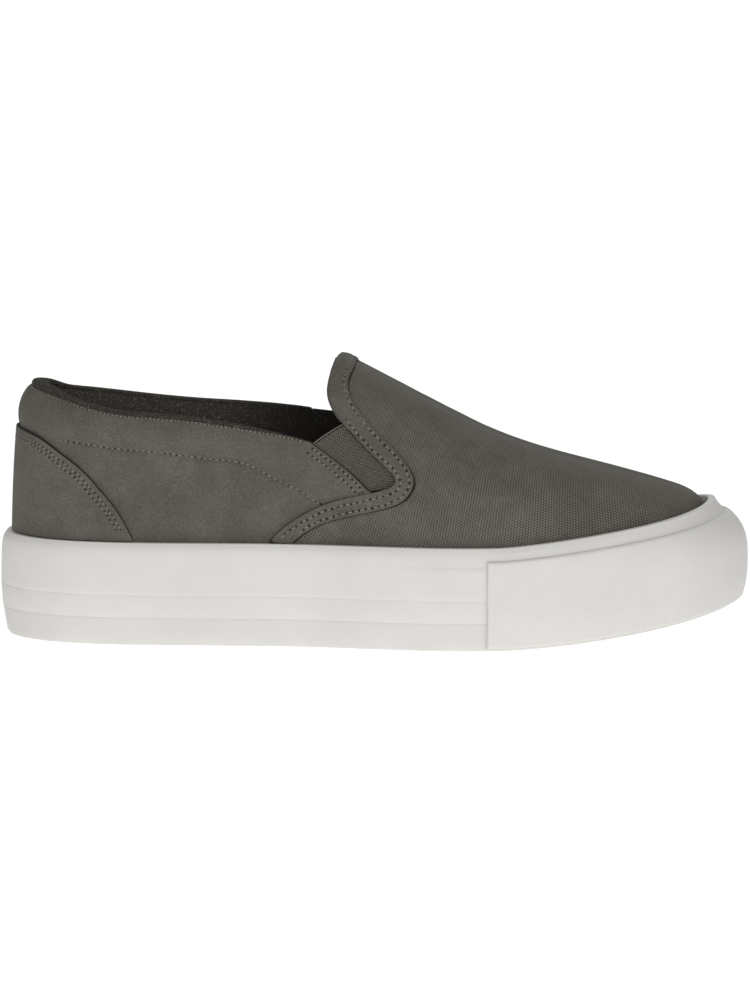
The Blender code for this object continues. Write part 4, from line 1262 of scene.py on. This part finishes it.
class SneakerLooks(bpy.types.PropertyGroup):
    """Colours and small sizes of the sneaker's finishes."""

    rubber_colour: bpy.props.FloatVectorProperty(
        name="Rubber", description="Colour of the sole and the toe strip",
        subtype="COLOR", size=4, min=0, max=1, default=(0.700, 0.685, 0.657, 1))
    leather_colour: bpy.props.FloatVectorProperty(
        name="Leather", description="Colour of the quarters, the counter and the trim",
        subtype="COLOR", size=4, min=0, max=1, default=(0.112, 0.104, 0.086, 1))
    vamp_colour: bpy.props.FloatVectorProperty(
        name="Vamp", description="Colour of the pressed weave's raised threads",
        subtype="COLOR", size=4, min=0, max=1, default=(0.160, 0.1495, 0.122, 1))
    elastic_colour: bpy.props.FloatVectorProperty(
        name="Elastic", description="Colour of the gores",
        subtype="COLOR", size=4, min=0, max=1, default=(0.205, 0.190, 0.156, 1))
    knit_colour: bpy.props.FloatVectorProperty(
        name="Knit", description="Colour of the collar's binding",
        subtype="COLOR", size=4, min=0, max=1, default=(0.072, 0.065, 0.053, 1))
    lining_colour: bpy.props.FloatVectorProperty(
        name="Lining", description="Colour of the textile inside",
        subtype="COLOR", size=4, min=0, max=1, default=(0.084, 0.075, 0.063, 1))
    thread_colour: bpy.props.FloatVectorProperty(
        name="Thread", description="Colour of the sewing thread",
        subtype="COLOR", size=4, min=0, max=1, default=(0.200, 0.188, 0.158, 1))
    # Dark colour: the cut edges' own dark, also used as painted shade along the panels' borders, on the vamp's ridge
    # and on the needle holes' beads
    dark_colour: bpy.props.FloatVectorProperty(
        name="Cut edge", description="Colour of cut edges, pinholes and needle holes",
        subtype="COLOR", size=4, min=0, max=1, default=(0.018, 0.016, 0.013, 1))
    weave_pitch: bpy.props.FloatProperty(
        name="Weave pitch", description="Distance between the threads of the vamp's weave",
        subtype="DISTANCE", unit="LENGTH", min=0.0004, max=0.004, default=0.00088)
    elastic_pitch: bpy.props.FloatProperty(
        name="Elastic pitch", description="Distance between the cords of the gores",
        subtype="DISTANCE", unit="LENGTH", min=0.0003, max=0.003, default=0.00056)
    stitch_pitch: bpy.props.FloatProperty(
        name="Stitch pitch", description="Distance between the trim's stitches",
        subtype="DISTANCE", unit="LENGTH", min=0.001, max=0.006, default=0.0024)


class SNEAKER_OT_sole(bpy.types.Operator):
    """Build the cup sole, the tread and the toe strip"""

    bl_idname = "sneaker.sole"
    bl_label = "Sole"

    def execute(self, context):
        colour = looks().rubber_colour
        plain = rubber("white rubber", colour, 0)
        add_sole_wall(plain)
        # Painted shade: the tread sole takes the white rubber 5% darker, so that the low band reads as getting less
        # light
        add_outsole(rubber("tread rubber with painted shade", shade(colour, 0.95), 0))
        add_toe_strip(rubber("hatched rubber", colour, 0.00012))
        return {"FINISHED"}


class SNEAKER_OT_upper(bpy.types.Operator):
    """Build the vamp, the quarters and their linings"""

    bl_idname = "sneaker.upper"
    bl_label = "Upper"

    def execute(self, context):
        dark = looks().dark_colour
        add_vamp(weave("woven nubuck", looks().vamp_colour, dark, looks().weave_pitch))
        add_quarters(leather("quarter nubuck", looks().leather_colour, dark, 0.6 * MM))
        lining = textile("brushed lining", looks().lining_colour, 0.0009)
        add_vamp_lining(lining)
        add_collar_pad(lining)
        add_insole(textile("footbed textile", looks().lining_colour, 0.0012))
        return {"FINISHED"}


class SNEAKER_OT_panels(bpy.types.Operator):
    """Build the throat trim and the heel counter"""

    bl_idname = "sneaker.panels"
    bl_label = "Panels"

    def execute(self, context):
        material = leather("panel nubuck", looks().leather_colour, looks().dark_colour, 0.42 * MM)
        add_trim(material)
        add_counter(material)
        return {"FINISHED"}


class SNEAKER_OT_gores(bpy.types.Operator):
    """Build the elastic gores of both sides"""

    bl_idname = "sneaker.gores"
    bl_label = "Gores"

    def execute(self, context):
        material = elastic("dotted elastic", looks().elastic_colour, looks().dark_colour, looks().elastic_pitch)
        lining = textile("gore lining", looks().lining_colour, 0.0009)
        add_gore("elastic_outer", "gore_lateral", 1, material, lining)
        add_gore("elastic_inner", "gore_medial", -1, material, lining)
        return {"FINISHED"}


class SNEAKER_OT_binding(bpy.types.Operator):
    """Build the knit binding on the collar's rim"""

    bl_idname = "sneaker.binding"
    bl_label = "Binding"

    def execute(self, context):
        add_binding(knit("rim knit", looks().knit_colour, shade(looks().leather_colour, 1.35), 0.0009))
        return {"FINISHED"}


class SNEAKER_OT_stitches(bpy.types.Operator):
    """Sew the panels: thread, and dark beads as painted shade in the needle holes"""

    bl_idname = "sneaker.stitches"
    bl_label = "Stitches"

    def execute(self, context):
        add_stitches(thread("sewing thread", looks().thread_colour), thread("needle holes", looks().dark_colour))
        return {"FINISHED"}


class SNEAKER_OT_stage(bpy.types.Operator):
    """Set the floor, the soft lights and the camera"""

    bl_idname = "sneaker.stage"
    bl_label = "Stage"

    def execute(self, context):
        add_floor()
        add_light("key", (-0.45, -2.7, 1.3), 2.4, 32)
        add_light("fill", (1.5, -2.2, 0.9), 2.0, 11)
        add_light("top", (0, 0.4, 2.6), 2.2, 8)
        add_light("back", (0.3, 2.6, 1.5), 2.2, 16)
        add_world(0.23)
        add_camera()
        context.scene.view_settings.view_transform = "Standard"
        return {"FINISHED"}


def add_floor():
    """Pale floor: one large square."""
    reach = 8.0
    corner = np.array([-reach, reach])
    x, y = np.meshgrid(corner, corner)
    mesh = bpy.data.meshes.new("floor")
    mesh.from_pydata(np.stack([x, y, 0 * x - 0.0001], axis=-1).reshape(-1, 3), [], [(0, 1, 3, 2)])
    floor = bpy.data.objects.new("floor", mesh)
    bpy.context.scene.collection.objects.link(floor)
    shader = Shader("pale floor", 0.9, Specular_IOR_Level=0.1, Emission_Color=(1, 1, 1, 1), Emission_Strength=0.57)
    cloud = shader.noise(shader.object_place(), 3, 2)
    colour = shader.mix(cloud, (0.90, 0.90, 0.90, 1), (0.94, 0.94, 0.94, 1))
    mesh.materials.append(shader.finish(colour, shader.bump(cloud, 0.0001, 0.1)))


def add_light(name, place, size, power):
    """Soft square light aimed at the shoe."""
    light = bpy.data.lights.new(name, "AREA")
    light.size = size
    light.energy = power
    lamp = bpy.data.objects.new(name, light)
    lamp.location = place
    aim = Vector((0, 0, 0.04)) - Vector(place)
    lamp.rotation_euler = aim.to_track_quat("-Z", "Y").to_euler()
    bpy.context.scene.collection.objects.link(lamp)


def add_world(strength):
    world = bpy.data.worlds.new("studio")
    world.use_nodes = True
    background = world.node_tree.nodes["Background"]
    background.inputs["Color"].default_value = (1, 1, 1, 1)
    background.inputs["Strength"].default_value = strength
    bpy.context.scene.world = world


def add_camera():
    """Camera 3 m away, 8.5 degrees above the shoe's middle, square to its side."""
    rise = math.radians(8.5)
    distance = 3.0
    data = bpy.data.cameras.new("camera")
    data.sensor_width = 36
    data.lens = 36 * distance / 0.3583
    data.clip_end = 60
    camera = bpy.data.objects.new("camera", data)
    camera.location = (0, -distance * math.cos(rise), 0.04735 + distance * math.sin(rise))
    camera.rotation_euler = (math.pi / 2 - rise, 0, 0)
    bpy.context.scene.collection.objects.link(camera)
    bpy.context.scene.camera = camera


class SNEAKER_PT_panel(bpy.types.Panel):
    """Sneaker's settings and steps"""

    bl_label = "Slip-on sneaker"
    bl_idname = "SNEAKER_PT_panel"
    bl_space_type = "VIEW_3D"
    bl_region_type = "UI"
    bl_category = "Sneaker"

    def draw(self, context):
        for name in SneakerLooks.__annotations__:
            self.layout.prop(context.scene.sneaker_looks, name)
        for step in STEPS:
            self.layout.operator(step.bl_idname)


STEPS = (
    SNEAKER_OT_sole,
    SNEAKER_OT_upper,
    SNEAKER_OT_panels,
    SNEAKER_OT_gores,
    SNEAKER_OT_binding,
    SNEAKER_OT_stitches,
    SNEAKER_OT_stage,
)


def register():
    for kind in (SneakerLooks, *STEPS, SNEAKER_PT_panel):
        bpy.utils.register_class(kind)
    bpy.types.Scene.sneaker_looks = bpy.props.PointerProperty(type=SneakerLooks)


def unregister():
    del bpy.types.Scene.sneaker_looks
    for kind in reversed((SneakerLooks, *STEPS, SNEAKER_PT_panel)):
        bpy.utils.unregister_class(kind)


def main():
    """Build every piece and the stage."""
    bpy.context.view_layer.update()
    register()
    bpy.ops.sneaker.sole()
    bpy.ops.sneaker.upper()
    bpy.ops.sneaker.panels()
    bpy.ops.sneaker.gores()
    bpy.ops.sneaker.binding()
    bpy.ops.sneaker.stitches()
    bpy.ops.sneaker.stage()


if __name__ == "__main__":
    main()
